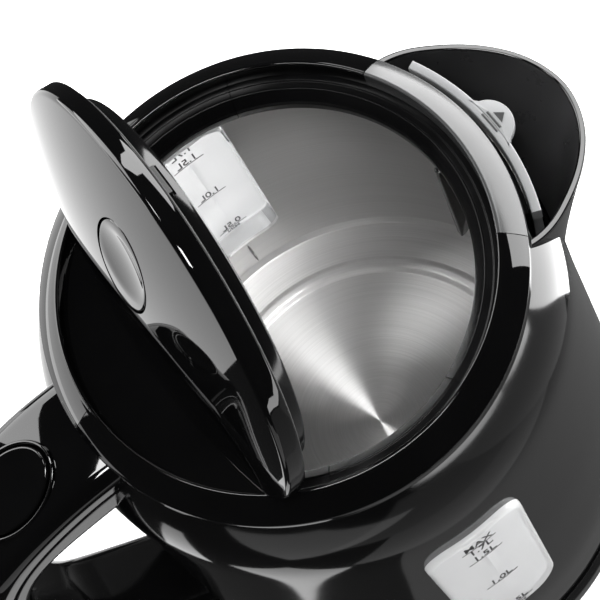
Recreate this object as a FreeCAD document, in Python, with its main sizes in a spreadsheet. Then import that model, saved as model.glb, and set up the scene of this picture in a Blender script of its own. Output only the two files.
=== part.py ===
import FreeCAD, Part
import Sketcher
import math
import os

# Cordless water kettle with its power base.  Millimetres, +Z up.
# z = 0 is the table, the Z axis is the axis of the jug, +X points to the
# spout and -X to the handle.  The lid is modelled closed and then swung open
# about its hinge pin, which is how the object stands at rest.

V = FreeCAD.Vector
doc = FreeCAD.newDocument("cordless_kettle")
sheet = doc.addObject("Spreadsheet::Sheet", "params")
val = {}


def par(alias, value, note=""):
    row = len(val) + 1
    sheet.set("A%d" % row, note or alias)
    sheet.set("B%d" % row, repr(float(value)))
    sheet.setAlias("B%d" % row, alias)
    val[alias] = float(value)


# ---- driving dimensions ---------------------------------------------------
par("base_radius", 84.0, "power base, outside radius")
par("base_top", 18.0, "power base, height of the resting face")
par("foot_height", 2.0, "rubber foot height")
par("plug_radius", 11.0, "power base connector, radius")
par("jug_floor", 18.3, "underside of the jug's foot ring")
par("pot_floor", 53.0, "inside floor of the steel pot")
par("pot_sheet", 1.0, "sheet of the pot")
par("shell_wall", 2.4, "wall of the outer shell")
par("collar_edge", 209.0, "height of the collar's outer edge")
par("collar_radius", 66.0, "collar, outside radius")
par("crest_radius", 58.2, "lid recess, radius")
par("crest_height", 215.2, "collar crest, height")
par("mouth_radius", 51.2, "filling mouth, radius")
par("hinge_x", 32.0, "hinge pin, distance behind the jug axis")
par("hinge_z", 211.6, "hinge pin, height")
par("hinge_pin_radius", 1.5, "hinge pin, radius")
par("lid_open", 76.0, "lid opening angle, degrees")
par("lid_radius", 57.5, "lid, radius")
par("lid_rise", 8.0, "rise of the lid dome")
par("lid_chord", 28.0, "straight rear edge of the lid, distance behind the axis")
par("lid_wall", 2.2, "wall of the lid cover")
par("plug_lid_radius", 50.4, "lid plug, radius")
par("button_x", 25.0, "lid button, centre")
par("button_long", 14.6, "lid button, half length")
par("button_wide", 10.2, "lid button, half width")
par("window_half", 16.0, "level window, half width")
par("window_low", 76.0, "level window, bottom")
par("window_high", 166.0, "level window, top")
par("window_top", 182.8, "level window, top of its hidden inner part")
par("window_proud", 2.0, "level window, how far it stands out")
par("handle_half", 17.0, "handle, half width")
par("handle_round", 5.0, "handle, edge rounding")
par("switch_x", 90.5, "switch, centre behind the axis")
par("switch_z", 203.3, "switch, height of its face")
par("switch_tilt", 19.0, "switch, slope of the handle top, degrees")
par("switch_long", 14.6, "switch rocker, half length")
par("switch_wide", 9.6, "switch rocker, half width")
par("spout_tip", 100.8, "spout outline at its top level, reach from the axis")
par("spout_wall", 2.0, "spout wall")
par("spout_lip", 211.0, "spout outline, top level before the lip is cut")
par("lip_height", 204.0, "spout lip, height at the collar")
par("lip_slope", 0.25, "spout lip, fall towards its tip")
par("filter_in", 67.8, "filter frame, inner radius")
par("filter_out", 70.4, "filter frame, outer radius")
par("screw_radius", 1.5, "small screw, shank radius")

SHELL = [(81.6, 19.5), (82.1, 24.0), (82.2, 40.0), (81.9, 58.0), (80.3, 84.0),
         (78.6, 109.0), (77.2, 129.0), (76.0, 149.0), (75.2, 164.0),
         (74.4, 179.0), (73.7, 186.0), (72.4, 192.0), (70.4, 197.5),
         (68.0, 202.0), (66.0, 205.2), (65.2, 206.4)]
for i, (r, z) in enumerate(SHELL):
    par("shell_radius_%s" % chr(97 + i), r, "outer shell, station radius")
    par("shell_height_%s" % chr(97 + i), z, "outer shell, station height")
par("pot_foot_radius", 74.4, "steel pot, radius at the floor")
par("pot_rim_radius", 63.2, "steel pot, radius at the rim")
par("pot_rim", 201.2, "steel pot, height of the rim")
doc.recompute()


def num(c):
    return val[c[0]] + c[1] if isinstance(c, tuple) else float(c)


def expr(c):
    return "params.%s + %r" % (c[0], float(c[1])) if c[1] >= 0 else \
        "params.%s - %r" % (c[0], -float(c[1]))


def bind(obj, prop, c):
    if isinstance(c, tuple):
        obj.setExpression(prop, expr(c))
    else:
        setattr(obj, prop, float(c))


def plane(body, role):
    return [f for f in body.Origin.OriginFeatures if f.Role == role][0]


def polygon(body, name, pts, role="XZ_Plane"):
    sk = body.newObject("Sketcher::SketchObject", name)
    sk.AttachmentSupport = (plane(body, role), "")
    sk.MapMode = "FlatFace"
    xy = [(num(a), num(b)) for a, b in pts]
    n = len(xy)
    for i in range(n):
        a, b = xy[i], xy[(i + 1) % n]
        sk.addGeometry(Part.LineSegment(V(a[0], a[1], 0), V(b[0], b[1], 0)), False)
    for i in range(n):
        sk.addConstraint(Sketcher.Constraint("Coincident", i, 2, (i + 1) % n, 1))
    for i, (a, b) in enumerate(pts):
        for kind, c, axis in (("DistanceX", a, -2), ("DistanceY", b, -1)):
            v = num(c)
            if abs(v) < 1e-9:
                sk.addConstraint(Sketcher.Constraint("PointOnObject", i, 1, axis))
            else:
                k = sk.addConstraint(Sketcher.Constraint(kind, -1, 1, i, 1, v))
                if isinstance(c, tuple):
                    sk.setExpression("Constraints[%d]" % k, expr(c))
    return sk


def turned(label, pts, angle=360.0):
    """A turned piece: closed section in the XZ plane, revolved about Z."""
    body = doc.addObject("PartDesign::Body", label)
    body.Label = label
    sk = polygon(body, label + "_section", pts)
    rev = body.newObject("PartDesign::Revolution", label + "_turn")
    rev.Profile = sk
    rev.ReferenceAxis = (sk, ["V_Axis"])
    rev.Angle = angle
    body.Tip = rev
    return body


def cyl(label, r, h, base, axis=(0, 0, 1)):
    o = doc.addObject("Part::Cylinder", label)
    bind(o, "Radius", r)
    bind(o, "Height", h)
    o.Placement = FreeCAD.Placement(V(*base), FreeCAD.Rotation(V(0, 0, 1), V(*axis)))
    return o


def box(label, lo, hi):
    o = doc.addObject("Part::Box", label)
    o.Length, o.Width, o.Height = hi[0] - lo[0], hi[1] - lo[1], hi[2] - lo[2]
    o.Placement = FreeCAD.Placement(V(*lo), FreeCAD.Rotation())
    return o


def cut(label, base, tool):
    o = doc.addObject("Part::Cut", label)
    o.Base, o.Tool = base, tool
    o.Label = label
    return o


def common(label, base, tool):
    o = doc.addObject("Part::Common", label)
    o.Base, o.Tool = base, tool
    o.Label = label
    return o


def fuse(label, items):
    if len(items) == 1:
        return items[0]
    o = doc.addObject("Part::MultiFuse", label)
    o.Shapes = items
    o.Label = label
    return o


def group(label, items):
    o = doc.addObject("Part::Compound", label)
    o.Links = items
    o.Label = label
    return o


def shaped(label, shape):
    o = doc.addObject("Part::Feature", label)
    o.Shape = shape
    o.Label = label
    return o


def copy_of(label, obj):
    """A second use of a blank, so that two pieces can be cut from it."""
    doc.recompute()
    return shaped(label, obj.Shape.copy())


def ellipse(label, cx, cy, z0, h, a, b):
    e = doc.addObject("Part::Ellipse", label + "_outline")
    bind(e, "MajorRadius", a)
    bind(e, "MinorRadius", b)
    e.Placement = FreeCAD.Placement(V(cx, cy, z0), FreeCAD.Rotation())
    x = doc.addObject("Part::Extrusion", label)
    x.Base = e
    x.DirMode = "Custom"
    x.Dir = V(0, 0, 1)
    x.LengthFwd = float(h)
    x.Solid = True
    return x


def ring_at(r, deg):
    a = math.radians(deg)
    return r * math.cos(a), r * math.sin(a)


nodes = []


def node(obj, label=None):
    if label:
        obj.Label = label
    nodes.append(obj)
    return obj


# ---- radial profiles used by several pieces ---------------------------------
def shell_out(z):
    for (r0, z0), (r1, z1) in zip(SHELL[:-1], SHELL[1:]):
        if z <= z1:
            return r0 + (r1 - r0) * (z - z0) / (z1 - z0)
    return SHELL[-1][0]


def inner_station(i):
    """Point of the shell's inner face opposite station i."""
    a = SHELL[max(i - 1, 0)]
    b = SHELL[min(i + 1, len(SHELL) - 1)]
    t = V(b[0] - a[0], b[1] - a[1], 0)
    t.normalize()
    w = val["shell_wall"]
    return SHELL[i][0] - w * t.y, SHELL[i][1] + w * t.x


def pot_in(z):
    f = (z - 56.5) / (val["pot_rim"] - 56.5)
    return val["pot_foot_radius"] + f * (val["pot_rim_radius"] - val["pot_foot_radius"])


def pot_out(z):
    return pot_in(z) + val["pot_sheet"]


# ======================= power base =========================================
boss_at = [ring_at(50.0, a) for a in (30, 150, 270)]

blank = turned("base_housing_blank", [
    (15.3, ("base_top", 0)), (78.0, ("base_top", 0)), (("base_radius", -2.0), ("base_top", -1.8)),
    (("base_radius", 0), ("base_top", -5.5)), (("base_radius", 0), ("foot_height", 0)),
    (("base_radius", -2.4), ("foot_height", 0)), (("base_radius", -2.4), ("base_top", -6.0)),
    (("base_radius", -4.2), ("base_top", -3.4)), (77.4, ("base_top", -2.4)), (15.3, ("base_top", -2.4))])
bosses = [cyl("base_boss_%d" % i, 4.0, 11.7, (x, y, 4.0)) for i, (x, y) in enumerate(boss_at)]
holes = [cyl("base_boss_hole_%d" % i, ("screw_radius", 0), 7.0, (x, y, 4.0)) for i, (x, y) in enumerate(boss_at)]
gland_hole = cyl("gland_hole", 4.6, 16.0, (-88.0, 0, 9.4), (1, 0, 0))
node(cut("base_housing", fuse("base_housing_body", [blank] + bosses), fuse("base_housing_holes", holes + [gland_hole])))

plate = turned("base_plate_blank", [
    (0, 0), (14.0, 0), (15.0, ("foot_height", 0)), (("base_radius", -2.7), ("foot_height", 0)),
    (("base_radius", -2.7), ("foot_height", 2.0)), (0, ("foot_height", 2.0))])
node(cut("base_bottom_plate", plate, fuse("base_plate_holes", [
    cyl("base_plate_hole_%d" % i, ("screw_radius", 0.2), 6.0, (x, y, 0)) for i, (x, y) in enumerate(boss_at)])))

node(turned("base_connector", [
    (0, 4.0), (22.0, 4.0), (22.0, 8.0), (15.0, 8.0), (15.0, ("base_top", 0.6)),
    (("plug_radius", 0), ("base_top", 1.4)), (("plug_radius", 0), 31.0), (("plug_radius", -0.8), 32.0),
    (9.6, 32.0), (9.6, 24.0), (6.6, 24.0), (6.6, 32.0), (2.8, 32.0), (2.8, 22.0), (0, 22.0)]))
node(turned("base_contact_ring", [(7.4, 24.0), (8.4, 24.0), (8.4, 30.5), (7.4, 30.5)]))
node(cyl("base_contact_pin", 1.5, 8.5, (0, 0, 22.0)), "base_contact_pin")
node(group("base_feet", [cyl("base_foot_%d" % i, 6.0, ("foot_height", 0), ring_at(66.0, a) + (0,))
                         for i, a in enumerate((45, 135, 225, 315))]))
screws = []
for i, (x, y) in enumerate(boss_at):
    screws.append(fuse("base_screw_%d" % i, [
        cyl("base_screw_head_%d" % i, 3.0, 1.2, (x, y, 0.8)),
        cyl("base_screw_shank_%d" % i, ("screw_radius", -0.05), 8.0, (x, y, 2.0))]))
node(group("base_screws", screws))
node(cut("cord_gland", fuse("cord_gland_body", [
    cyl("gland_sleeve", 4.55, 11.0, (-86.5, 0, 9.4), (1, 0, 0)),
    cyl("gland_flange", 5.1, 1.6, (-79.4, 0, 9.4), (1, 0, 0))]),
    cyl("gland_bore", 3.3, 16.0, (-89.0, 0, 9.4), (1, 0, 0))))

# ======================= jug: underside and heating ==========================
post_at = [ring_at(70.5, a) for a in (60, 180, 300)]
cover = turned("bottom_cover_blank", [
    (16.6, 20.0), (73.6, 20.0), (74.4, ("jug_floor", 0)), (77.2, ("jug_floor", 0)), (79.0, 20.0),
    (79.0, 24.0), (77.0, 24.0), (77.0, 22.0), (16.6, 22.0)])
node(cut("bottom_cover", cover, fuse("bottom_cover_holes", [
    cyl("bottom_cover_hole_%d" % i, ("screw_radius", 0.2), 6.0, (x, y, 18.0)) for i, (x, y) in enumerate(post_at)])))
screws = []
for i, (x, y) in enumerate(post_at):
    screws.append(fuse("bottom_screw_%d" % i, [
        cyl("bottom_screw_head_%d" % i, 2.9, 1.2, (x, y, 18.8)),
        cyl("bottom_screw_shank_%d" % i, ("screw_radius", -0.05), 9.0, (x, y, 20.0))]))
node(group("bottom_screws", screws))
ring = turned("pot_clamp_blank", [
    (67.0, 48.0), (79.0, 48.0), (79.0, ("pot_floor", -1.0)), (67.0, ("pot_floor", -1.0))])
node(cut("pot_clamp_ring", fuse("pot_clamp_body", [ring] + [
    cyl("pot_clamp_post_%d" % i, 3.4, 26.5, (x, y, 22.0)) for i, (x, y) in enumerate(post_at)]),
    fuse("pot_clamp_holes", [cyl("pot_clamp_hole_%d" % i, ("screw_radius", 0), 9.5, (x, y, 22.0))
                             for i, (x, y) in enumerate(post_at)])))
node(turned("jug_connector", [
    (11.7, 20.0), (16.2, 20.0), (16.2, 36.0), (0, 36.0), (0, 33.2), (11.7, 33.2)]))
node(group("jug_contacts", [
    turned("jug_contact_band", [(8.6, 25.5), (9.3, 25.5), (9.3, 33.2), (8.6, 33.2)]),
    turned("jug_contact_tube", [(1.7, 24.0), (2.5, 24.0), (2.5, 33.2), (1.7, 33.2)])]))
node(turned("thermostat_control", [
    (0, 36.0), (24.0, 36.0), (24.0, 42.0), (20.0, 46.0), (0, 46.0)]))
node(turned("heat_spreader", [
    (0, 48.5), (64.0, 48.5), (66.0, 50.0), (66.0, ("pot_floor", -1.0)), (0, ("pot_floor", -1.0))]))
torus = doc.addObject("Part::Torus", "element_tube")
torus.Radius1, torus.Radius2, torus.Angle3 = 46.0, 3.2, 320.0
torus.Placement = FreeCAD.Placement(V(0, 0, 45.3), FreeCAD.Rotation(V(0, 0, 1), 20.0))
pins = [cyl("element_pin_%d" % i, 2.2, 13.0, ring_at(46.0, a) + (33.0,)) for i, a in enumerate((22.5, 337.5))]
node(fuse("heating_element", [torus] + pins))

# ======================= jug: steel pot ======================================
pot = turned("pot_blank", [
    (0, ("pot_floor", 0)), (54.6, ("pot_floor", 0)), (55.8, ("pot_floor", 1.0)), (58.6, ("pot_floor", 1.0)),
    (59.8, ("pot_floor", 0)), (72.6, ("pot_floor", 0)), (74.0, ("pot_floor", 1.2)),
    (("pot_foot_radius", 0), ("pot_floor", 3.5)), (("pot_rim_radius", 0), ("pot_rim", 0)),
    (("pot_rim_radius", 1.0), ("pot_rim", 0)), (("pot_foot_radius", 1.0), ("pot_floor", 3.4)),
    (74.8, ("pot_floor", 0.4)), (72.9, ("pot_floor", -1.0)), (0, ("pot_floor", -1.0))])


def rounded_prism(label, half, z0, z1, r, y0, y1):
    """Upright rounded rectangle pushed along Y."""
    p = [(-half + r, z0), (half - r, z0), (half, z0 + r), (half, z1 - r),
         (half - r, z1), (-half + r, z1), (-half, z1 - r), (-half, z0 + r)]
    c = r * (1 - math.sqrt(0.5))
    mid = [None, (half - c, z0 + c), None, (half - c, z1 - c), None, (-half + c, z1 - c), None, (-half + c, z0 + c)]
    edges = []
    for i in range(8):
        a, b = p[i], p[(i + 1) % 8]
        A, B = V(a[0], y0, a[1]), V(b[0], y0, b[1])
        if mid[i]:
            edges.append(Part.Arc(A, V(mid[i][0], y0, mid[i][1]), B).toShape())
        else:
            edges.append(Part.LineSegment(A, B).toShape())
    return shaped(label, Part.Face(Part.Wire(edges)).extrude(V(0, y1 - y0, 0)))


wl, wh, whalf, wt = val["window_low"], val["window_high"], val["window_half"], val["window_top"]
pour = box("pour_cut", (52.0, -21.0, 165.0), (72.0, 21.0, 198.5))
node(cut("inner_pot", pot, fuse("pot_cuts", [
    rounded_prism("pot_window_cut", whalf - 1.8, wl + 1.8, wt - 1.8, 7.2, -90.0, 90.0), pour])))
node(turned("pot_gasket", [(62.0, ("pot_rim", 0)), (64.8, ("pot_rim", 0)), (64.8, 202.0), (62.0, 202.0)]))

# ======================= jug: outer shell and windows ========================
names = [chr(97 + i) for i in range(len(SHELL))]
outer_pts = [(("shell_radius_" + c, 0), ("shell_height_" + c, 0)) for c in names]
inner_pts = []
for i, c in enumerate(names):
    r, z = inner_station(i)
    if i == 0:
        z = SHELL[0][1]
    inner_pts.append((("shell_radius_" + c, round(r - SHELL[i][0], 3)), ("shell_height_" + c, round(z - SHELL[i][1], 3))))
shell_blank = turned("outer_shell_blank", outer_pts + inner_pts[::-1])
core_blank = turned("shell_core", inner_pts + [(0, num(inner_pts[-1][1])), (0, num(inner_pts[0][1]))])

# spout: an open trough lofted between outlines that narrow downwards
LIP = [(55.0, 34.96), (60.0, 35.08), (66.2, 33.74), (72.8, 30.8), (79.8, 27.12), (86.5, 22.87), (92.3, 18.17),
       (96.9, 12.68), (99.8, 6.22)]
ROOT = [(55.0, 31.0), (60.0, 30.2), (65.0, 28.8), (68.6, 26.4), (71.4, 22.8), (73.2, 18.0), (74.5, 12.6),
        (75.2, 7.4), (75.5, 3.4)]


def trough(z, inset):
    f = (z - 158.0) / (val["spout_lip"] - 158.0)
    f = f ** 1.15 if f > 0 else f
    half = [(a[0] + (b[0] - a[0]) * f, a[1] + (b[1] - a[1]) * f) for a, b in zip(ROOT, LIP)]
    tip = 75.6 + (val["spout_tip"] - 75.6) * f
    pts = [(x, -y) for x, y in half] + [(tip, 0.0)] + half[::-1]
    if inset:
        moved = []
        for i, q in enumerate(pts):
            a, b = pts[max(i - 1, 0)], pts[min(i + 1, len(pts) - 1)]
            tx, ty = b[0] - a[0], b[1] - a[1]
            n = math.hypot(tx, ty)
            moved.append((q[0] - inset * ty / n, q[1] + inset * tx / n))
        pts = moved
    c = Part.BSplineCurve()
    c.interpolate([V(x, y, z) for x, y in pts])
    return Part.Wire([c.toShape(), Part.LineSegment(V(pts[-1][0], pts[-1][1], z), V(pts[0][0], pts[0][1], z)).toShape()])


levels = [158.0, 171.0, 185.0, 198.0, val["spout_lip"]]
spout_outer = Part.makeLoft([trough(z, 0.0) for z in levels], True, False)
spout_inner = Part.makeLoft([trough(z, val["spout_wall"]) for z in (160.5, 171.0, 185.0, 198.0, val["spout_lip"] + 1.0)], True, False)
spout_solid = shaped("spout_block", spout_outer)
spout_solid2 = shaped("spout_block_for_shell", spout_outer.copy())
spout_hollow = shaped("spout_hollow", spout_inner)

# handle: a closed loop, split along its side seam into two mouldings
OUTER = [(58.0, 208.2), (66.3, 208.0), (75.0, 207.4), (83.0, 205.8), (91.0, 203.2), (99.0, 199.6), (107.0, 194.4),
         (114.6, 187.0), (121.4, 176.6), (126.4, 163.6), (129.4, 148.6), (130.8, 132.0), (131.0, 115.0), (129.6, 98.6),
         (125.6, 83.6), (118.6, 70.4), (109.8, 59.0), (100.4, 48.6), (90.6, 38.2), (76.0, 23.6)]
SEAM = [(58.0, 199.8), (66.3, 199.6), (74.4, 199.0), (81.4, 197.6), (88.4, 195.4), (95.2, 192.3), (101.6, 188.2),
        (108.2, 181.8), (113.8, 173.2), (118.2, 161.6), (121.0, 147.8), (122.4, 131.8), (122.6, 115.4), (121.3, 100.2),
        (117.7, 86.8), (111.6, 75.4), (103.4, 64.8), (94.3, 54.6), (84.7, 44.2), (71.0, 30.4)]
INNER = [(58.0, 186.4), (71.0, 186.2), (80.0, 185.4), (88.0, 184.2), (94.6, 182.0), (100.2, 178.4), (105.0, 172.6),
         (108.6, 164.4), (110.8, 154.0), (112.0, 141.0), (112.4, 127.0), (112.2, 113.0), (111.2, 100.5), (108.4, 89.4),
         (102.6, 80.0), (95.6, 71.3), (89.4, 63.6), (80.5, 53.0), (66.0, 37.0)]


def run(pts, dz=0.0):
    c = Part.BSplineCurve()
    c.interpolate([V(-x, 0, z + dz) for x, z in pts])
    return c.toShape()


def strip(a, b):
    """Solid between two side contours, as wide as the handle."""
    ea, eb = run(a), run(b)
    l0 = Part.LineSegment(V(-a[0][0], 0, a[0][1]), V(-b[0][0], 0, b[0][1])).toShape()
    l1 = Part.LineSegment(V(-a[-1][0], 0, a[-1][1]), V(-b[-1][0], 0, b[-1][1])).toShape()
    w = Part.Wire(Part.sortEdges([ea, l1, eb, l0])[0])
    h = val["handle_half"]
    s = Part.Face(w).extrude(V(0, 2 * h, 0))
    s.translate(V(0, -h, 0))
    return s


def long_edges(s, pts):
    """The two side edges of a strip that follow one contour."""
    m = pts[len(pts) // 2]
    out = []
    for e in s.Edges:
        if e.Length > 60.0:
            d = min((e.valueAt(e.FirstParameter + (e.LastParameter - e.FirstParameter) * k / 40.0) - V(-m[0], 0, m[1])).Length
                    for k in range(41))
            q = e.valueAt(0.5 * (e.FirstParameter + e.LastParameter))
            if d < val["handle_half"] + 1.0:
                out.append(e)
    return out


cover_solid = strip(OUTER, SEAM)
cover_solid = cover_solid.makeFillet(val["handle_round"], long_edges(cover_solid, OUTER))
SEAM2 = []
for i, q in enumerate(SEAM):
    a, b = SEAM[max(i - 1, 0)], SEAM[min(i + 1, len(SEAM) - 1)]
    tx, tz = b[0] - a[0], b[1] - a[1]
    n = math.hypot(tx, tz)
    SEAM2.append((q[0] + 0.3 * tz / n, q[1] - 0.3 * tx / n))
grip_solid = strip(SEAM2, INNER)
grip_solid = grip_solid.makeFillet(val["handle_round"], long_edges(grip_solid, INNER))

# everything the handle has to stay outside of: the shell and the collar
body_solid = turned("body_envelope", outer_pts + [
    (65.2, 206.5), (("collar_radius", 0.1), 206.9), (("collar_radius", 0.1), 216.0), (0, 216.0), (0, num(outer_pts[0][1]))])
cavity = box("switch_cavity", (-98.0, -10.6, 188.5), (-73.0, 10.6, 198.2))

tilt = FreeCAD.Rotation(V(0, 1, 0), -val["switch_tilt"])
switch_place = FreeCAD.Placement(V(-val["switch_x"], 0, val["switch_z"]), tilt)
bezel_out = ellipse("bezel_outside", 0, 0, -7.0, 7.5, ("switch_long", 1.6), ("switch_wide", 1.6))
bezel_in = ellipse("bezel_inside", 0, 0, -12.0, 16.0, ("switch_long", 0.5), ("switch_wide", 0.5))
bezel_pocket = ellipse("bezel_pocket", 0, 0, -16.0, 26.0, ("switch_long", 1.6), ("switch_wide", 1.6))
bezel_pocket.Placement = switch_place
node(cut("switch_bezel", bezel_out, bezel_in)).Placement = switch_place
pad = ellipse("rocker_pad", 0, 0, -5.0, 6.2, ("switch_long", 0), ("switch_wide", 0))
dish = doc.addObject("Part::Sphere", "rocker_dish")
dish.Radius = 120.0
dish.Placement = FreeCAD.Placement(V(0, 0, 120.4), FreeCAD.Rotation())
stem = box("rocker_stem", (-3.0, -3.0, -9.0), (3.0, 3.0, -4.5))
node(fuse("switch_button", [cut("rocker_cap", pad, dish), stem])).Placement = switch_place

cover_raw = shaped("handle_cover_blank", cover_solid)
grip_raw = shaped("handle_grip_blank", grip_solid)
env2 = copy_of("body_envelope_for_grip", body_solid)
node(cut("handle_cover", cover_raw, fuse("handle_cover_cuts", [body_solid, bezel_pocket, cavity])))
cavity2 = box("switch_cavity_in_grip", (-98.0, -10.6, 188.5), (-73.0, 10.6, 198.2))
node(cut("handle_grip", grip_raw, fuse("handle_grip_cuts", [env2, cavity2])))
node(box("steam_switch", (-97.4, -8.0, 188.5), (-82.0, 8.0, 192.6)), "steam_switch")
node(cyl("bimetal_disc", 4.4, 0.6, (-76.6, 0, 193.3), (1, 0, 0)), "bimetal_disc")
node(box("switch_lever", (-80.6, -2.0, 189.2), (-77.6, 2.0, 194.6)), "switch_lever")

# shell, cut for the windows and for the spout
shell_cuts = fuse("shell_cuts", [
    rounded_prism("shell_window_cut", whalf, wl, wh, 9.0, -95.0, 95.0), spout_solid2])
node(cut("outer_shell", shell_blank, shell_cuts))
collar_clear = cyl("collar_clearance", ("collar_radius", 0.2), 20.0, (0, 0, 200.0))
lip_at = lambda x: val["lip_height"] - val["lip_slope"] * (x - 66.0)
above_lip = shaped("above_the_lip", Part.Face(Part.makePolygon([V(x, -60.0, z) for x, z in (
    (50.0, lip_at(50.0)), (120.0, lip_at(120.0)), (120.0, 230.0), (50.0, 230.0), (50.0, lip_at(50.0)))])).extrude(V(0, 120.0, 0)))
node(cut("spout", cut("spout_trough", spout_solid, spout_hollow), fuse("spout_trim", [core_blank, collar_clear, above_lip])))

# level windows: clear trays that reach from the pot to the outside; behind the
# shell they run on upwards to the top of the pot's opening
zs = [wl - 4.0, 109.0, 129.0, 149.0, wh + 4.0]
zt = [wl - 4.0, 109.0, 129.0, 149.0, 164.0, 179.0, wt + 3.0]
tray_zone_pts = [(shell_out(z) + val["window_proud"], z) for z in zs] + [(pot_out(z), z) for z in zs[::-1]]
hollow_zone_pts = [(shell_out(z) - 0.6, z) for z in zs] + [(40.0, z) for z in zs[::-1]]
upper_zone_pts = [(shell_out(z) - 2.8, z) for z in zt] + [(pot_out(z), z) for z in zt[::-1]]
upper_hollow_pts = [(shell_out(z) - 4.4, z) for z in zt] + [(40.0, z) for z in zt[::-1]]
seal_zone_pts = [(pot_out(z) + 2.0, z) for z in zt] + [(pot_out(z), z) for z in zt[::-1]]
for side, y0, y1 in (("left", 40.0, 95.0), ("right", -95.0, -40.0)):
    solids, hollows = [], []
    for part, top, zone_pts, hollow_pts in (("", wh, tray_zone_pts, hollow_zone_pts), ("upper_", wt, upper_zone_pts, upper_hollow_pts)):
        tag = part + side
        zone = turned("window_zone_" + tag, zone_pts)
        hollow_zone = turned("window_hollow_zone_" + tag, hollow_pts)
        solids.append(common("window_block_" + tag, rounded_prism("window_prism_" + tag, whalf, wl, top, 9.0, y0, y1), zone))
        hollows.append(common("window_hollow_" + tag, rounded_prism(
            "window_hollow_prism_" + tag, whalf - 1.8, wl + 1.8, top - 1.8, 7.2, y0, y1), hollow_zone))
    node(cut("level_window_" + side, fuse("window_body_" + side, solids), fuse("window_room_" + side, hollows)))
seals = []
for side, y0, y1 in (("left", 40.0, 95.0), ("right", -95.0, -40.0)):
    zone = turned("seal_zone_" + side, seal_zone_pts)
    seals.append(common("window_seal_" + side, cut(
        "seal_ring_" + side,
        rounded_prism("seal_outside_" + side, whalf + 2.4, wl - 2.4, wt + 2.4, 11.4, y0, y1),
        rounded_prism("seal_inside_" + side, whalf, wl, wt, 9.0, y0, y1)), zone))
node(group("window_seals", seals))

# ======================= jug: collar, lid seat, rear deck ====================
collar_pts = [(("crest_radius", 0), 202.0), (("crest_radius", 0), ("crest_height", -0.6)),
              (("crest_radius", 0.5), ("crest_height", 0)), (("crest_radius", 1.2), ("crest_height", -0.3)),
              (("collar_radius", -0.4), ("collar_edge", 0.5)), (("collar_radius", 0), ("collar_edge", -0.2)),
              (("collar_radius", 0), ("collar_edge", -2.0)), (65.3, 206.6), (62.8, 204.8), (62.8, 202.0)]


def sector(label, half_deg, r, z0, z1):
    a = math.radians(half_deg)
    p = [V(0, 0, z0), V(r * math.cos(a), -r * math.sin(a), z0), V(r * 1.05, 0, z0), V(r * math.cos(a), r * math.sin(a), z0)]
    return shaped(label, Part.Face(Part.makePolygon(p + [p[0]])).extrude(V(0, 0, z1 - z0)))


node(cut("rim_collar", turned("collar_blank", collar_pts), sector("bridge_gap", 30.0, 120.0, 195.0, 225.0)))
node(common("spout_bridge", turned("bridge_blank", collar_pts), sector("bridge_sector", 29.8, 120.0, 195.0, 225.0)))
node(turned("lid_seat_ring", [
    (("mouth_radius", 0), 202.0), (("crest_radius", 0), 202.0), (("crest_radius", 0), 208.7), (54.2, 208.7),
    (("mouth_radius", 0.4), 205.4), (("mouth_radius", 0), 204.6)]))

hx, hz = -val["hinge_x"], val["hinge_z"]
deck_disc = cyl("deck_disc", ("crest_radius", 0), 2.5, (0, 0, 208.7))
deck_under = cyl("deck_under", ("mouth_radius", -0.6), 2.6, (0, 0, 206.4))
deck_keep = box("deck_keep", (-70.0, -70.0, 200.0), (-val["lid_chord"] - 1.1, 70.0, 230.0))
lugs = []
for i, (y0, y1) in enumerate(((21.0, 28.0), (-28.0, -21.0))):
    lugs.append(box("deck_lug_foot_%d" % i, (hx - 3.4, y0, 209.0), (hx + 2.6, y1, hz)))
    lugs.append(cyl("deck_lug_eye_%d" % i, 3.4, y1 - y0, (hx, y0, hz), (0, 1, 0)))
deck = fuse("deck_body", [common("deck_plate", fuse("deck_stack", [deck_disc, deck_under]), deck_keep)] + lugs)
pin_room = cyl("deck_pin_hole", ("hinge_pin_radius", 0), 60.0, (hx, -30.0, hz), (0, 1, 0))
hinge_room = box("deck_hinge_room", (hx - 3.6, -20.5, 208.0), (hx + 6.0, 20.5, 216.0))
node(cut("rear_deck", deck, fuse("deck_cuts", [pin_room, hinge_room])))
node(cyl("hinge_pin", ("hinge_pin_radius", 0), 58.0, (hx, -29.0, hz), (0, 1, 0)), "hinge_pin")


def coil(label, radius, wire, pitch, height, place):
    helix = Part.makeHelix(pitch, height, radius)
    prof = Part.Wire([Part.makeCircle(wire, V(radius, 0, 0), V(0, 1, 0))])
    s = Part.Wire(helix.Edges).makePipeShell([prof], True, True)
    o = shaped(label, s)
    o.Placement = place
    return o


node(coil("hinge_spring", 2.3, 0.45, 1.6, 12.8, FreeCAD.Placement(V(hx, 6.4, hz), FreeCAD.Rotation(V(0, 0, 1), V(0, -1, 0)))))

# spout throat: frame behind the filter with a splash rib that reaches into the pot
frame_ring = turned("throat_ring", [(65.4, 201.6), (67.4, 201.6), (67.4, 166.5), (68.4, 161.0), (67.7, 161.0), (67.3, 164.5), (65.4, 199.0)])
throat = cut("throat_frame", common("throat_arc", frame_ring, sector("throat_sector", 22.0, 120.0, 150.0, 210.0)),
             box("throat_window", (60.0, -19.0, 168.0), (75.0, 19.0, 197.5)))
rib_face = Part.Face(Part.makePolygon([V(x, -1.1, z) for x, z in (
    (50.6, 201.6), (61.6, 201.6), (61.6, 198.2), (66.6, 198.2), (66.6, 166.6), (63.4, 165.4), (52.2, 152.6), (50.6, 152.6), (50.6, 201.6))]))
rib = shaped("throat_rib", rib_face.extrude(V(0, 2.2, 0)))
node(fuse("spout_throat", [throat, rib]))

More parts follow.
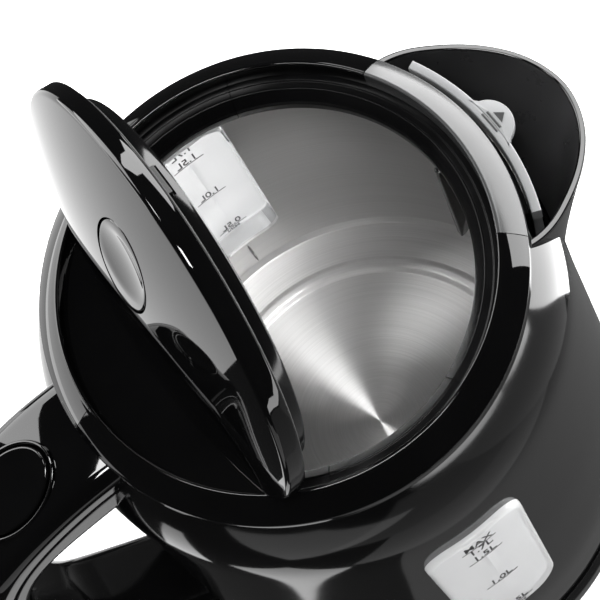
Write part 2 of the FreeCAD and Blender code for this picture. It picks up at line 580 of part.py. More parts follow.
# ======================= removable filter ====================================
sieve_ring = turned("filter_ring", [
    (("filter_in", 0), 172.0), (("filter_out", 0), 172.0), (("filter_out", 0), 206.0), (("filter_in", 0), 206.0)])
sieve_arc = common("filter_arc", sieve_ring, sector("filter_sector", 20.0, 120.0, 165.0, 212.0))
sieve_hole = box("filter_window", (60.0, -18.0, 176.5), (80.0, 18.0, 199.5))
tab = cut("filter_tab", cyl("filter_tab_disc", 7.5, 2.4, (68.0, 0, 203.6)), cyl("filter_tab_trim", ("filter_in", 1.0), 12.0, (0, 0, 200.0)))
ears = common("filter_ears", turned("filter_ear_ring", [
    (("filter_in", 0), 200.6), (("filter_out", 0), 200.6), (("filter_out", 0), 206.0), (("filter_in", 0), 206.0)]),
    sector("filter_ear_sector", 23.5, 120.0, 165.0, 212.0))
node(fuse("filter_frame", [cut("filter_rim", sieve_arc, sieve_hole), ears, tab]))
mesh_ring = turned("mesh_ring", [(68.9, 176.5), (69.3, 176.5), (69.3, 199.5), (68.9, 199.5)])
slits = [box("mesh_slit_%d" % i, (60.0, -16.5, 178.2 + 2.4 * i), (80.0, 16.5, 179.4 + 2.4 * i)) for i in range(9)]
mesh = cut("mesh_cut", common("mesh_panel", mesh_ring, box("mesh_zone", (50.0, -18.0, 170.0), (80.0, 18.0, 205.0))), fuse("mesh_slits", slits))
wires = [cyl("mesh_wire_%d" % i, 0.25, 21.6, (math.sqrt(69.1 ** 2 - y * y), y, 177.2)) for i, y in enumerate((-12.0, -8.0, -4.0, 0.0, 4.0, 8.0, 12.0))]
node(fuse("filter_mesh", [mesh] + wires))

# ======================= lid =================================================
opened = FreeCAD.Placement(V(0, 0, 0), FreeCAD.Rotation(V(0, -1, 0), val["lid_open"]), V(hx, 0, hz))
lr, rise, lw = val["lid_radius"], val["lid_rise"], val["lid_wall"]
dome_r = (lr * lr + rise * rise) / (2 * rise)


def dome(r):
    return 215.0 + math.sqrt(dome_r ** 2 - r * r) - (dome_r - rise)


rs = [0.0, 12.0, 24.0, 34.0, 43.0, 50.0, 55.0]
top = [(r, dome(r)) for r in rs]
dome_out = turned("lid_dome_outside", [(0, 210.0), (("lid_radius", 0), 210.0), (("lid_radius", 0), 214.2),
                                       (("lid_radius", -0.8), 215.2)] + top[::-1])
dome_in = turned("lid_dome_inside", [(0, 208.0), (("lid_radius", -lw), 208.0), (("lid_radius", -lw), 212.6)] +
                 [(min(r, lr - lw - 0.4), dome(r) - lw) for r in rs[::-1]])
doc.recompute()
rear_half = box("lid_front_zone", (-val["lid_chord"], -70.0, 190.0), (70.0, 70.0, 240.0))
rear_wall_zone = box("lid_rear_wall_zone", (-val["lid_chord"], -70.0, 205.0), (-val["lid_chord"] + lw, 70.0, 240.0))
roof = common("lid_roof", cut("lid_shell", dome_out, dome_in), rear_half)
back = common("lid_back", copy_of("lid_dome_for_back", dome_out), rear_wall_zone)
lid_lugs = []
for i, (y0, y1) in enumerate(((9.5, 20.0), (-20.0, -9.5))):
    lid_lugs.append(box("lid_lug_arm_%d" % i, (hx, y0, hz - 3.2), (-val["lid_chord"] + 0.6, y1, hz + 3.2)))
    lid_lugs.append(cyl("lid_lug_eye_%d" % i, 3.2, y1 - y0, (hx, y0, hz), (0, 1, 0)))
lid_screw_at = [(-18.0, 34.0), (-18.0, -34.0), (28.0, 31.0), (28.0, -31.0)]
lid_bosses = common("lid_bosses_trim", fuse("lid_bosses", [
    cyl("lid_boss_%d" % i, 3.2, 18.0, (x, y, 207.0)) for i, (x, y) in enumerate(lid_screw_at)]), copy_of("lid_dome_for_bosses", dome_out))
lid_holes = [cyl("lid_boss_hole_%d" % i, 1.3, 8.0, (x, y, 207.0)) for i, (x, y) in enumerate(lid_screw_at)]
lid_holes.append(cyl("lid_pin_hole", ("hinge_pin_radius", 0.05), 60.0, (hx, -30.0, hz), (0, 1, 0)))
lid_holes.append(ellipse("lid_button_hole", val["button_x"], 0, 213.0, 14.0, ("button_long", 0.5), ("button_wide", 0.5)))
node(cut("lid_cover", fuse("lid_cover_body", [roof, back, lid_bosses] + lid_lugs), fuse("lid_cover_holes", lid_holes))).Placement = opened

tray = turned("lid_tray_blank", [
    (0, 204.8), (("plug_lid_radius", -0.8), 204.8), (("plug_lid_radius", 0), 205.8), (("plug_lid_radius", 0), 210.0),
    (("lid_radius", -2.4), 210.0), (("lid_radius", -2.4), 211.2), (("plug_lid_radius", -1.6), 211.2),
    (("plug_lid_radius", -1.6), 206.2), (0, 206.2)])
tray_front = common("lid_tray_front", tray, box("lid_tray_zone", (-val["lid_chord"] + 2.3, -70, 190), (70, 70, 230)))
tray_disc = cyl("lid_tray_disc", ("plug_lid_radius", 0), 5.4, (0, 0, 205.8))
tray_back = common("lid_tray_back", tray_disc, box("lid_tray_back_zone", (-val["lid_chord"] + 2.3, -70, 200), (-val["lid_chord"] + 3.9, 70, 230)))
tray_holes = [cyl("lid_tray_hole_%d" % i, 1.5, 6.0, (x, y, 203.0)) for i, (x, y) in enumerate(lid_screw_at)]
tray_holes.append(box("lid_latch_slot", (46.0, -4.4, 206.6), (54.0, 4.4, 209.6)))
node(cut("lid_inner_plate", fuse("lid_tray", [tray_front, tray_back]), fuse("lid_tray_holes", tray_holes))).Placement = opened

seal = turned("lid_seal_blank", [(("plug_lid_radius", 0), 209.2), (55.6, 209.2), (56.4, 209.6), (56.4, 210.0), (("plug_lid_radius", 0), 210.0)])
node(common("lid_seal", seal, box("lid_seal_zone", (-val["lid_chord"] + 2.3, -70, 190), (70, 70, 230)))).Placement = opened
screws = []
for i, (x, y) in enumerate(lid_screw_at):
    screws.append(fuse("lid_screw_%d" % i, [cyl("lid_screw_head_%d" % i, 2.6, 0.9, (x, y, 203.9)),
                                           cyl("lid_screw_shank_%d" % i, 1.25, 9.0, (x, y, 204.8))]))
node(group("lid_screws", screws)).Placement = opened

cap = common("lid_button_cap", ellipse("lid_button_block", val["button_x"], 0, 217.6, 10.0, ("button_long", 0), ("button_wide", 0)),
             copy_of("lid_dome_for_button", dome_out))
hollow = doc.addObject("Part::Sphere", "lid_button_dish")
hollow.Radius = 46.0
hollow.Placement = FreeCAD.Placement(V(val["button_x"] + 0.16 * 46.0, 0, dome(val["button_x"]) - 1.3 + 46.0 * 0.987), FreeCAD.Rotation())
stem = cyl("lid_button_stem", 3.0, 5.4, (val["button_x"], 0, 212.6))
node(fuse("lid_button", [cut("lid_button_dished", cap, hollow), stem])).Placement = opened
springs = [coil("lid_button_spring_%d" % i, 2.0, 0.45, 2.1, 10.5, FreeCAD.Placement(V(val["button_x"], y, 206.6), FreeCAD.Rotation()))
           for i, y in enumerate((6.6, -6.6))]
node(group("lid_button_springs", springs)).Placement = opened
latch = fuse("lid_latch", [box("lid_latch_bar", (14.0, -4.0, 206.9), (49.0, 4.0, 209.2)),
                           box("lid_latch_nose", (48.5, -4.0, 207.3), (51.5, 4.0, 208.8))])
node(latch).Placement = opened

# ---- check and write ---------------------------------------------------------
doc.recompute()
bad = [o.Label for o in doc.Objects if "Invalid" in o.State or "Error" in o.State]
if bad:
    raise RuntimeError("failed objects: %s" % ", ".join(bad))
labels = [o.Label for o in nodes]
assert len(set(labels)) == len(labels), "node names repeat"
for o in nodes:
    s = o.Shape
    if s.isNull() or not s.isValid() or not s.Solids:
        raise RuntimeError("bad shape in %s" % o.Label)
os.makedirs("parts", exist_ok=True)
for o in nodes:
    o.Shape.exportStep("parts/%s.step" % o.Label)
    b = o.Shape.BoundBox
    print("%-22s solids %d  vol %9.1f  x %7.1f %7.1f  y %7.1f %7.1f  z %7.1f %7.1f" % (
        o.Label, len(o.Shape.Solids), o.Shape.Volume, b.XMin, b.XMax, b.YMin, b.YMax, b.ZMin, b.ZMax))
print(len(nodes), "nodes")
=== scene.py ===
import math

import bpy
import bmesh
import numpy as np
from mathutils import Matrix, Vector
from mathutils.bvhtree import BVHTree


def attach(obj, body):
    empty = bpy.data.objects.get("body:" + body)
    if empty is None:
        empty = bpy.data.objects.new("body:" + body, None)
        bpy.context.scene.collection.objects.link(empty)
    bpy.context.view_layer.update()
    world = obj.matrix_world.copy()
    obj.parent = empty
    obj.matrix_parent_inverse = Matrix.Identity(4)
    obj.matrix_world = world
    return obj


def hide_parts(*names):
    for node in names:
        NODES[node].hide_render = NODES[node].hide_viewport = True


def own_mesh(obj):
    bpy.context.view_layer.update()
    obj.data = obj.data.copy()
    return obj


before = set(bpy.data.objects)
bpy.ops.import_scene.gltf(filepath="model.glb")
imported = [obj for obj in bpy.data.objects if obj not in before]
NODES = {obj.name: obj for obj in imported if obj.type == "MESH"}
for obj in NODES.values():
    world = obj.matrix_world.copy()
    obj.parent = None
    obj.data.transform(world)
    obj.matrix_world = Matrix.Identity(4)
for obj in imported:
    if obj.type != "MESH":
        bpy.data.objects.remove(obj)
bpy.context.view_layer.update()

# Cordless water kettle.  The lengths below are millimetres in the frame of the
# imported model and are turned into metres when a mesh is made.
MM = 0.001
SCENE = bpy.context.scene


# ---------------------------------------------------------------- materials
def new_mat(name):
    m = bpy.data.materials.new(name)
    m.use_nodes = True
    nt = m.node_tree
    for n in list(nt.nodes):
        nt.nodes.remove(n)
    out = nt.nodes.new("ShaderNodeOutputMaterial")
    bsdf = nt.nodes.new("ShaderNodeBsdfPrincipled")
    nt.links.new(bsdf.outputs[0], out.inputs[0])
    return m, nt, bsdf


def coords(nt, scale=(1, 1, 1)):
    tc = nt.nodes.new("ShaderNodeTexCoord")
    mp = nt.nodes.new("ShaderNodeMapping")
    mp.inputs["Scale"].default_value = scale
    nt.links.new(tc.outputs["Object"], mp.inputs["Vector"])
    return mp.outputs[0]


def noise(nt, vec, scale, detail=4.0, rough=0.5):
    n = nt.nodes.new("ShaderNodeTexNoise")
    n.inputs["Scale"].default_value = scale
    n.inputs["Detail"].default_value = detail
    n.inputs["Roughness"].default_value = rough
    nt.links.new(vec, n.inputs["Vector"])
    return n.outputs[0]


def ramp(nt, fac, c0, c1, p0=0.3, p1=0.7):
    r = nt.nodes.new("ShaderNodeValToRGB")
    r.color_ramp.elements[0].position = p0
    r.color_ramp.elements[1].position = p1
    r.color_ramp.elements[0].color = (*c0, 1)
    r.color_ramp.elements[1].color = (*c1, 1)
    nt.links.new(fac, r.inputs[0])
    return r.outputs[0]


def span(nt, fac, lo, hi, a=0.3, b=0.7):
    m = nt.nodes.new("ShaderNodeMapRange")
    m.inputs["From Min"].default_value = a
    m.inputs["From Max"].default_value = b
    m.inputs["To Min"].default_value = lo
    m.inputs["To Max"].default_value = hi
    nt.links.new(fac, m.inputs[0])
    return m.outputs[0]


def bump(nt, bsdf, height, strength, dist):
    b = nt.nodes.new("ShaderNodeBump")
    b.inputs["Strength"].default_value = strength
    b.inputs["Distance"].default_value = dist
    nt.links.new(height, b.inputs["Height"])
    nt.links.new(b.outputs[0], bsdf.inputs["Normal"])


def plastic(name, c0, c1, r0, r1, grain=1200.0, depth=0.02, coat=0.0, spec=0.5, cloud=35.0):
    """Moulded plastic: faint clouding, uneven gloss and a fine moulded grain."""
    m, nt, b = new_mat(name)
    v = coords(nt)
    big = noise(nt, v, cloud, 5.0)
    fine = noise(nt, v, grain, 3.0, 0.6)
    nt.links.new(ramp(nt, big, c0, c1), b.inputs["Base Color"])
    nt.links.new(span(nt, noise(nt, v, cloud * 3.0, 6.0, 0.6), r0, r1), b.inputs["Roughness"])
    b.inputs["Specular IOR Level"].default_value = spec
    b.inputs["Coat Weight"].default_value = coat
    b.inputs["Coat Roughness"].default_value = 0.03
    bump(nt, b, fine, depth, 0.0002)
    return m


def steel(name, colour0, colour1, r0, r1, aniso, lines=2600.0, depth=0.05, turned=True):
    """Spun stainless steel: brush lines run round the axis."""
    m, nt, b = new_mat(name)
    b.inputs["Metallic"].default_value = 0.8
    b.inputs["Specular IOR Level"].default_value = 0.2
    b.inputs["Anisotropic"].default_value = aniso
    b.inputs["Anisotropic Rotation"].default_value = 0.25
    tc = nt.nodes.new("ShaderNodeTexCoord")
    sep = nt.nodes.new("ShaderNodeSeparateXYZ")
    nt.links.new(tc.outputs["Object"], sep.inputs[0])

    def op(kind, a, c=None, k=None):
        n = nt.nodes.new("ShaderNodeMath")
        n.operation = kind
        nt.links.new(a, n.inputs[0])
        if c is not None:
            nt.links.new(c, n.inputs[1])
        elif k is not None:
            n.inputs[1].default_value = k
        return n.outputs[0]

    rad = op("SQRT", op("ADD", op("MULTIPLY", sep.outputs[0], sep.outputs[0]), op("MULTIPLY", sep.outputs[1], sep.outputs[1])))
    ang = op("ARCTAN2", sep.outputs[1], sep.outputs[0])
    comb = nt.nodes.new("ShaderNodeCombineXYZ")
    nt.links.new(op("MULTIPLY", rad, k=lines), comb.inputs[0])
    nt.links.new(op("MULTIPLY", ang, k=0.8), comb.inputs[1])
    nt.links.new(op("MULTIPLY", sep.outputs[2], k=lines), comb.inputs[2])
    brush = noise(nt, comb.outputs[0], 1.0, 4.0, 0.62)
    comb2 = nt.nodes.new("ShaderNodeCombineXYZ")
    nt.links.new(op("MULTIPLY", rad, k=lines * 0.22), comb2.inputs[0])
    nt.links.new(op("MULTIPLY", ang, k=0.5), comb2.inputs[1])
    nt.links.new(op("MULTIPLY", sep.outputs[2], k=lines * 0.22), comb2.inputs[2])
    broad = noise(nt, comb2.outputs[0], 1.0, 3.0, 0.5)
    nt.links.new(ramp(nt, brush, colour0, colour1, 0.25, 0.75), b.inputs["Base Color"])
    nt.links.new(span(nt, broad, r0, r1), b.inputs["Roughness"])
    if turned:
        t = nt.nodes.new("ShaderNodeTangent")
        t.direction_type = "RADIAL"
        t.axis = "Z"
        nt.links.new(t.outputs[0], b.inputs["Tangent"])
    bump(nt, b, brush, depth, 0.00005)
    return m


def metal(name, c0, c1, r0, r1, grain=300.0, depth=0.1):
    m, nt, b = new_mat(name)
    b.inputs["Metallic"].default_value = 1.0
    v = coords(nt)
    nt.links.new(ramp(nt, noise(nt, v, 60.0, 6.0), c0, c1), b.inputs["Base Color"])
    nt.links.new(span(nt, noise(nt, v, 140.0, 6.0), r0, r1), b.inputs["Roughness"])
    bump(nt, b, noise(nt, v, grain, 4.0), depth, 0.0001)
    return m


GLOSS = plastic("gloss_black_plastic", (0.0009, 0.0009, 0.001), (0.0016, 0.0016, 0.0017), 0.02, 0.035, 500.0, 0.002)
BODY = plastic("body_black_plastic", (0.0012, 0.0012, 0.0013), (0.002, 0.002, 0.0021), 0.07, 0.10, 500.0, 0.002)
SATIN = plastic("satin_black_plastic", (0.006, 0.006, 0.0062), (0.010, 0.010, 0.0104), 0.28, 0.40, 1500.0, 0.06)
SEMI = plastic("semi_gloss_black_plastic", (0.002, 0.002, 0.0021), (0.0035, 0.0035, 0.0037), 0.09, 0.14, 900.0, 0.006)
SILVER = plastic("smoke_grey_plastic", (0.032, 0.0325, 0.033), (0.045, 0.0455, 0.046), 0.17, 0.24, 900.0, 0.006, spec=0.5)
SEAT = plastic("seat_black_plastic", (0.0016, 0.0016, 0.0017), (0.0028, 0.0028, 0.003), 0.16, 0.24, 900.0, 0.01, spec=0.22)
TROUGH = plastic("trough_black_plastic", (0.018, 0.018, 0.0186), (0.026, 0.026, 0.0268), 0.26, 0.34, 900.0, 0.02, spec=0.35)
MILKY = plastic("milky_grey_plastic", (0.20, 0.203, 0.206), (0.25, 0.253, 0.256), 0.28, 0.40, 900.0, 0.02)
RUBBER = plastic("black_rubber", (0.012, 0.012, 0.012), (0.02, 0.02, 0.02), 0.6, 0.8, 1600.0, 0.2)
INK = plastic("scale_print", (0.015, 0.015, 0.016), (0.025, 0.025, 0.026), 0.45, 0.6, 1500.0, 0.02)
POT = steel("spun_steel", (0.56, 0.555, 0.55), (0.68, 0.675, 0.67), 0.30, 0.335, 1.0, 2400.0, 0.0012)
BRIGHT = metal("bright_steel", (0.55, 0.55, 0.55), (0.66, 0.66, 0.66), 0.2, 0.32)
BRASS = metal("contact_brass", (0.60, 0.46, 0.20), (0.72, 0.56, 0.27), 0.22, 0.36)
ALU = metal("rolled_aluminium", (0.62, 0.63, 0.64), (0.72, 0.73, 0.74), 0.35, 0.5)


def window_material(name, through):
    """Frosted clear plastic: part of the light passes, part is scattered."""
    m, nt, b = new_mat(name)
    v = coords(nt)
    nt.links.new(ramp(nt, noise(nt, v, 25.0, 3.0), (0.87, 0.875, 0.88), (0.89, 0.895, 0.90)), b.inputs["Base Color"])
    nt.links.new(span(nt, noise(nt, v, 60.0, 3.0), 0.10, 0.13), b.inputs["Roughness"])
    b.inputs["Transmission Weight"].default_value = through
    b.inputs["IOR"].default_value = 1.06
    b.inputs["Coat Weight"].default_value = 0.6
    b.inputs["Coat Roughness"].default_value = 0.05
    return m


WINDOW = window_material("frosted_window_plastic", 0.5)
WINDOW_EDGE = window_material("frosted_window_edge", 0.05)


# ---------------------------------------------------------------- mesh tools
def clean(o, recalc=True):
    bm = bmesh.new()
    bm.from_mesh(o.data)
    bmesh.ops.remove_doubles(bm, verts=bm.verts, dist=2e-7)
    bmesh.ops.dissolve_degenerate(bm, edges=bm.edges, dist=1e-7)
    if recalc:
        bmesh.ops.recalc_face_normals(bm, faces=bm.faces)
    bm.to_mesh(o.data)
    bm.free()
    o.data.update()


def shade(o, angle=30.0):
    me = o.data
    me.polygons.foreach_set("use_smooth", [True] * len(me.polygons))
    me.set_sharp_from_angle(angle=math.radians(angle))
    me.update()


def raw(name, verts, faces):
    me = bpy.data.meshes.new(name)
    me.from_pydata([(v[0] * MM, v[1] * MM, v[2] * MM) for v in verts], [], faces)
    me.validate()
    me.update()
    o = bpy.data.objects.new(name, me)
    SCENE.collection.objects.link(o)
    clean(o)
    return o


def piece(o, body, mat, nodes=(), angle=30.0, reshade=True):
    if reshade:
        shade(o, angle)
    o.data.materials.clear()
    o.data.materials.append(mat)
    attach(o, body)
    if nodes:
        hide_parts(*nodes)
    return o


def corner_data(me):
    me.calc_loop_triangles()
    nv = len(me.vertices)
    co = np.zeros(nv * 3, np.float32)
    me.vertices.foreach_get("co", co)
    co = co.reshape(-1, 3).astype(float)
    nl = len(me.loops)
    cn = np.zeros(nl * 3, np.float32)
    me.corner_normals.foreach_get("vector", cn)
    cn = cn.reshape(-1, 3).astype(float)
    nt = len(me.loop_triangles)
    tv = np.zeros(nt * 3, np.int32)
    tl = np.zeros(nt * 3, np.int32)
    me.loop_triangles.foreach_get("vertices", tv)
    me.loop_triangles.foreach_get("loops", tl)
    return co, cn, tv.reshape(-1, 3), tl.reshape(-1, 3)


def carve(o, cutters, angle=30.0, keep=False):
    """Cuts solids out of o; faces beside a cut keep the smooth normals they had before it."""
    shade(o, angle)
    sources = []
    for src, sign in [(o, 1.0)] + [(c, -1.0) for c in cutters]:
        if src is not o:
            shade(src, 40.0)
        co, cn, tv, tl = corner_data(src.data)
        tree = BVHTree.FromPolygons([tuple(c) for c in co], [tuple(t) for t in tv])
        sources.append((co, cn * sign, tv, tl, tree, sign))
    before = set(tuple(q) for q in np.round(sources[0][0] * 2e6).astype(np.int64))
    for c in cutters:
        mod = o.modifiers.new("cut", "BOOLEAN")
        mod.operation = "DIFFERENCE"
        mod.solver = "EXACT"
        mod.object = c
    dg = bpy.context.evaluated_depsgraph_get()
    me = bpy.data.meshes.new_from_object(o.evaluated_get(dg))
    o.modifiers.clear()
    old = o.data
    o.data = me
    bpy.data.meshes.remove(old)
    bm = bmesh.new()
    bm.from_mesh(me)
    bmesh.ops.remove_doubles(bm, verts=bm.verts, dist=1e-7)
    bmesh.ops.dissolve_degenerate(bm, edges=bm.edges, dist=1e-7)
    bm.to_mesh(me)
    bm.free()
    me.polygons.foreach_set("use_smooth", [True] * len(me.polygons))
    co = np.zeros(len(me.vertices) * 3, np.float32)
    me.vertices.foreach_get("co", co)
    fresh = [tuple(q) not in before for q in np.round(co.reshape(-1, 3).astype(float) * 2e6).astype(np.int64)]
    normals = [(0.0, 0.0, 0.0)] * len(me.loops)
    for p in me.polygons:
        if not any(fresh[i] for i in p.vertices):
            continue
        centre, fn = p.center, p.normal
        for li in p.loop_indices:
            v = me.vertices[me.loops[li].vertex_index].co
            q = v.lerp(centre, 0.03)
            best = None
            for co, cn, tv, tl, tree, sign in sources:
                hit, n, idx, dist = tree.find_nearest(q)
                if hit is None or dist > 4e-5 or (n * sign).dot(fn) < 0.75:
                    continue
                if best is None or dist < best[0]:
                    a, b, c = (co[i] for i in tv[idx])
                    h = np.array(hit)
                    e0, e1, e2 = b - a, c - a, h - a
                    d00, d01, d11 = e0 @ e0, e0 @ e1, e1 @ e1
                    d20, d21 = e2 @ e0, e2 @ e1
                    den = d00 * d11 - d01 * d01
                    if abs(den) < 1e-24:
                        w1 = w2 = 0.0
                    else:
                        w1 = (d11 * d20 - d01 * d21) / den
                        w2 = (d00 * d21 - d01 * d20) / den
                    nn = cn[tl[idx][0]] * (1 - w1 - w2) + cn[tl[idx][1]] * w1 + cn[tl[idx][2]] * w2
                    best = (dist, nn)
            nv = Vector(best[1]).normalized() if best is not None else fn
            normals[li] = tuple(nv if nv.dot(fn) > 0.2 else fn)
    me.normals_split_custom_set(normals)
    me.update()
    if not keep:
        for c in cutters:
            bpy.data.objects.remove(c)
    return o


def fillet(pts, radii, steps=6, closed=True):
    """A polyline with its corners rounded."""
    n = len(pts)
    if not hasattr(radii, "__len__"):
        radii = [radii] * n
    out = []
    for i in range(n):
        p = np.array(pts[i], float)
        if not closed and i in (0, n - 1) or radii[i] <= 0:
            out.append(tuple(p))
            continue
        a, b = np.array(pts[i - 1], float), np.array(pts[(i + 1) % n], float)
        ua, ub = a - p, b - p
        la, lb = np.linalg.norm(ua), np.linalg.norm(ub)
        ua, ub = ua / la, ub / lb
        ang = math.acos(max(-1, min(1, float(ua @ ub))))
        if ang > math.radians(176):
            out.append(tuple(p))
            continue
        t = min(radii[i] / math.tan(ang / 2), 0.48 * la, 0.48 * lb)
        r = t * math.tan(ang / 2)
        bis = (ua + ub) / np.linalg.norm(ua + ub)
        c = p + bis * (r / math.sin(ang / 2))
        s0, s1 = p + ua * t - c, p + ub * t - c
        th = math.acos(max(-1, min(1, float(s0 @ s1) / (r * r))))
        for k in range(steps + 1):
            f = k / steps
            v = (math.sin((1 - f) * th) * s0 + math.sin(f * th) * s1) / math.sin(th)
            out.append(tuple(c + v))
    return out


def spline(pts, n, closed=False):
    """Natural cubic spline through pts, n samples evenly spaced along it."""
    p = np.array(pts, float)
    d = np.r_[0, np.cumsum(np.linalg.norm(np.diff(p, axis=0), axis=1) ** 0.7)]
    m = len(d)
    hh = np.diff(d)
    A = np.zeros((m, m))
    B = np.zeros((m, p.shape[1]))
    A[0, 0] = A[-1, -1] = 1
    for i in range(1, m - 1):
        A[i, i - 1], A[i, i], A[i, i + 1] = hh[i - 1], 2 * (hh[i - 1] + hh[i]), hh[i]
        B[i] = 6 * ((p[i + 1] - p[i]) / hh[i] - (p[i] - p[i - 1]) / hh[i - 1])
    M = np.linalg.solve(A, B)

    def at(t):
        i = np.clip(np.searchsorted(d, t) - 1, 0, m - 2)
        h = hh[i][:, None]
        a = (d[i + 1] - t)[:, None] / h
        b = (t - d[i])[:, None] / h
        return a * p[i] + b * p[i + 1] + ((a ** 3 - a) * M[i] + (b ** 3 - b) * M[i + 1]) * h * h / 6

    fine = at(np.linspace(0, d[-1], 40 * m))
    s = np.r_[0, np.cumsum(np.linalg.norm(np.diff(fine, axis=0), axis=1))]
    want = np.linspace(0, s[-1], n)
    return np.stack([np.interp(want, s, fine[:, k]) for k in range(p.shape[1])], 1)


def lathe(name, pts, n=288, a0=0.0, a1=360.0, dents=()):
    """A closed section (r, z) turned about Z.  dents are (azimuth, half width, depth): fine grooves across it."""
    pts = [tuple(p) for p in pts]
    full = abs(a1 - a0) > 359.99
    angles = [a0 + (a1 - a0) * j / n for j in range(n if full else n + 1)]
    for az, hw, dep in dents:
        angles += [az - hw * 1.6, az - hw, az, az + hw, az + hw * 1.6]
    angles = sorted(set(round(a, 5) for a in angles))
    k = len(pts)
    arr = np.array(pts)
    tan = np.roll(arr, -1, 0) - np.roll(arr, 1, 0)
    tan /= np.linalg.norm(tan, axis=1)[:, None] + 1e-12
    nor = np.stack([-tan[:, 1], tan[:, 0]], 1)
    area = 0.5 * np.sum(arr[:, 0] * np.roll(arr[:, 1], -1) - np.roll(arr[:, 0], -1) * arr[:, 1])
    if area < 0:
        nor = -nor
    verts, faces = [], []
    for a in angles:
        q = arr
        for az, hw, dep in dents:
            f = max(0.0, 1.0 - abs(a - az) / (hw * 1.6))
            if f > 0:
                q = q + nor * dep * min(1.0, f * 1.6)
        c, s = math.cos(math.radians(a)), math.sin(math.radians(a))
        verts += [(r * c, r * s, z) for r, z in q]
    m = len(angles)
    for j in range(m if full else m - 1):
        j2 = (j + 1) % m
        for i in range(k):
            i2 = (i + 1) % k
            faces.append((j * k + i, j2 * k + i, j2 * k + i2, j * k + i2))
    if not full:
        faces.append(tuple(range(k)))
        faces.append(tuple(range((m - 1) * k, m * k)))
    return raw(name, verts, faces)


def rings(name, loops, closed_ends=True, place=None):
    """Skin through a list of equally long closed loops; the first and last are filled with a fan."""
    verts, faces = [], []
    k = len(loops[0])
    for lp in loops:
        verts += [tuple(p) for p in lp]
    for j in range(len(loops) - 1):
        for i in range(k):
            i2 = (i + 1) % k
            faces.append((j * k + i, j * k + i2, (j + 1) * k + i2, (j + 1) * k + i))
    if closed_ends:
        for j in (0, len(loops) - 1):
            c = np.mean(np.array(loops[j]), axis=0)
            verts.append(tuple(c))
            ci = len(verts) - 1
            for i in range(k):
                faces.append((j * k + i, j * k + (i + 1) % k, ci))
    if place:
        verts = [place(v) for v in verts]
    return raw(name, verts, faces)


def prism(name, outline, lo, hi, to3):
    """Outline pushed between lo and hi; to3 maps (u, v, w) to a point."""
    k = len(outline)
    verts = [to3(u, v, lo) for u, v in outline] + [to3(u, v, hi) for u, v in outline]
    faces = [(i, (i + 1) % k, k + (i + 1) % k, k + i) for i in range(k)]
    faces += [tuple(range(k)), tuple(range(k, 2 * k))]
    return raw(name, verts, faces)


def soft_prism(name, outline, lo, hi, to3, r=0.4, steps=3):
    """Like prism, with its two outline edges rounded by shrinking the outline."""
    o = np.array(outline, float)
    t = np.roll(o, -1, 0) - np.roll(o, 1, 0)
    t /= np.linalg.norm(t, axis=1)[:, None] + 1e-12
    nrm = np.stack([t[:, 1], -t[:, 0]], 1)
    area = 0.5 * np.sum(o[:, 0] * np.roll(o[:, 1], -1) - np.roll(o[:, 0], -1) * o[:, 1])
    if area < 0:
        nrm = -nrm
    loops = []
    for k in range(steps + 1):
        a = 0.5 * math.pi * k / steps
        loops.append([to3(u, v, lo + r * (1 - math.cos(a))) for u, v in o - nrm * r * (1 - math.sin(a))])
    for k in range(steps + 1):
        a = 0.5 * math.pi * (1 - k / steps)
        loops.append([to3(u, v, hi - r * (1 - math.cos(a))) for u, v in o - nrm * r * (1 - math.sin(a))])
    return rings(name, loops)


# ---------------------------------------------------------------- shared profiles
SHELL = [(81.6, 19.5), (82.1, 24.0), (82.2, 40.0), (81.9, 58.0), (80.3, 84.0), (78.6, 109.0), (77.2, 129.0),
         (76.0, 149.0), (75.2, 164.0), (74.4, 179.0), (73.7, 186.0), (72.4, 192.0), (70.4, 197.5), (68.0, 202.0),
         (66.0, 205.2), (65.2, 206.4)]
shell_fine = spline(SHELL, 160)


def shell_out(z):
    return float(np.interp(z, shell_fine[:, 1], shell_fine[:, 0]))


def pot_in(z):
    return 74.4 + (z - 56.5) / (201.2 - 56.5) * (63.2 - 74.4)


def pot_out(z):
    return pot_in(z) + 1.0


def rounded_rect(half, z0, z1, r, n=10):
    pts = []
    for cx, cz, a0 in ((half - r, z0 + r, -90), (half - r, z1 - r, 0), (-half + r, z1 - r, 90), (-half + r, z0 + r, 180)):
        for k in range(n + 1):
            a = math.radians(a0 + 90 * k / n)
            pts.append((cx + r * math.cos(a), cz + r * math.sin(a)))
    out = []
    for i, p in enumerate(pts):
        q = pts[(i + 1) % len(pts)]
        d = math.hypot(q[0] - p[0], q[1] - p[1])
        steps = max(1, int(d / 3.0))
        for k in range(steps):
            out.append((p[0] + (q[0] - p[0]) * k / steps, p[1] + (q[1] - p[1]) * k / steps))
    return out


along_y = lambda u, v, w: (u, w, v)

# ---------------------------------------------------------------- spout outlines
LIP = [(55.0, 34.96), (60.0, 35.08), (66.2, 33.74), (72.8, 30.8), (79.8, 27.12), (86.5, 22.87), (92.3, 18.17), (96.9, 12.68), (99.8, 6.22)]
ROOT = [(55.0, 31.0), (60.0, 30.2), (65.0, 28.8), (68.6, 26.4), (71.4, 22.8), (73.2, 18.0), (74.5, 12.6), (75.2, 7.4), (75.5, 3.4)]


def trough(z, inset, n=161):
    f = (z - 158.0) / 53.0
    f = f ** 1.15 if f > 0 else f
    half = [(a[0] + (b[0] - a[0]) * f, a[1] + (b[1] - a[1]) * f) for a, b in zip(ROOT, LIP)]
    tip = 75.6 + (100.8 - 75.6) * f
    p = spline([(x, -y) for x, y in half] + [(tip, 0.0)] + half[::-1], n)
    if inset:
        t = np.gradient(p, axis=0)
        t /= np.linalg.norm(t, axis=1)[:, None]
        p = p + inset * np.stack([-t[:, 1], t[:, 0]], 1)
    return p


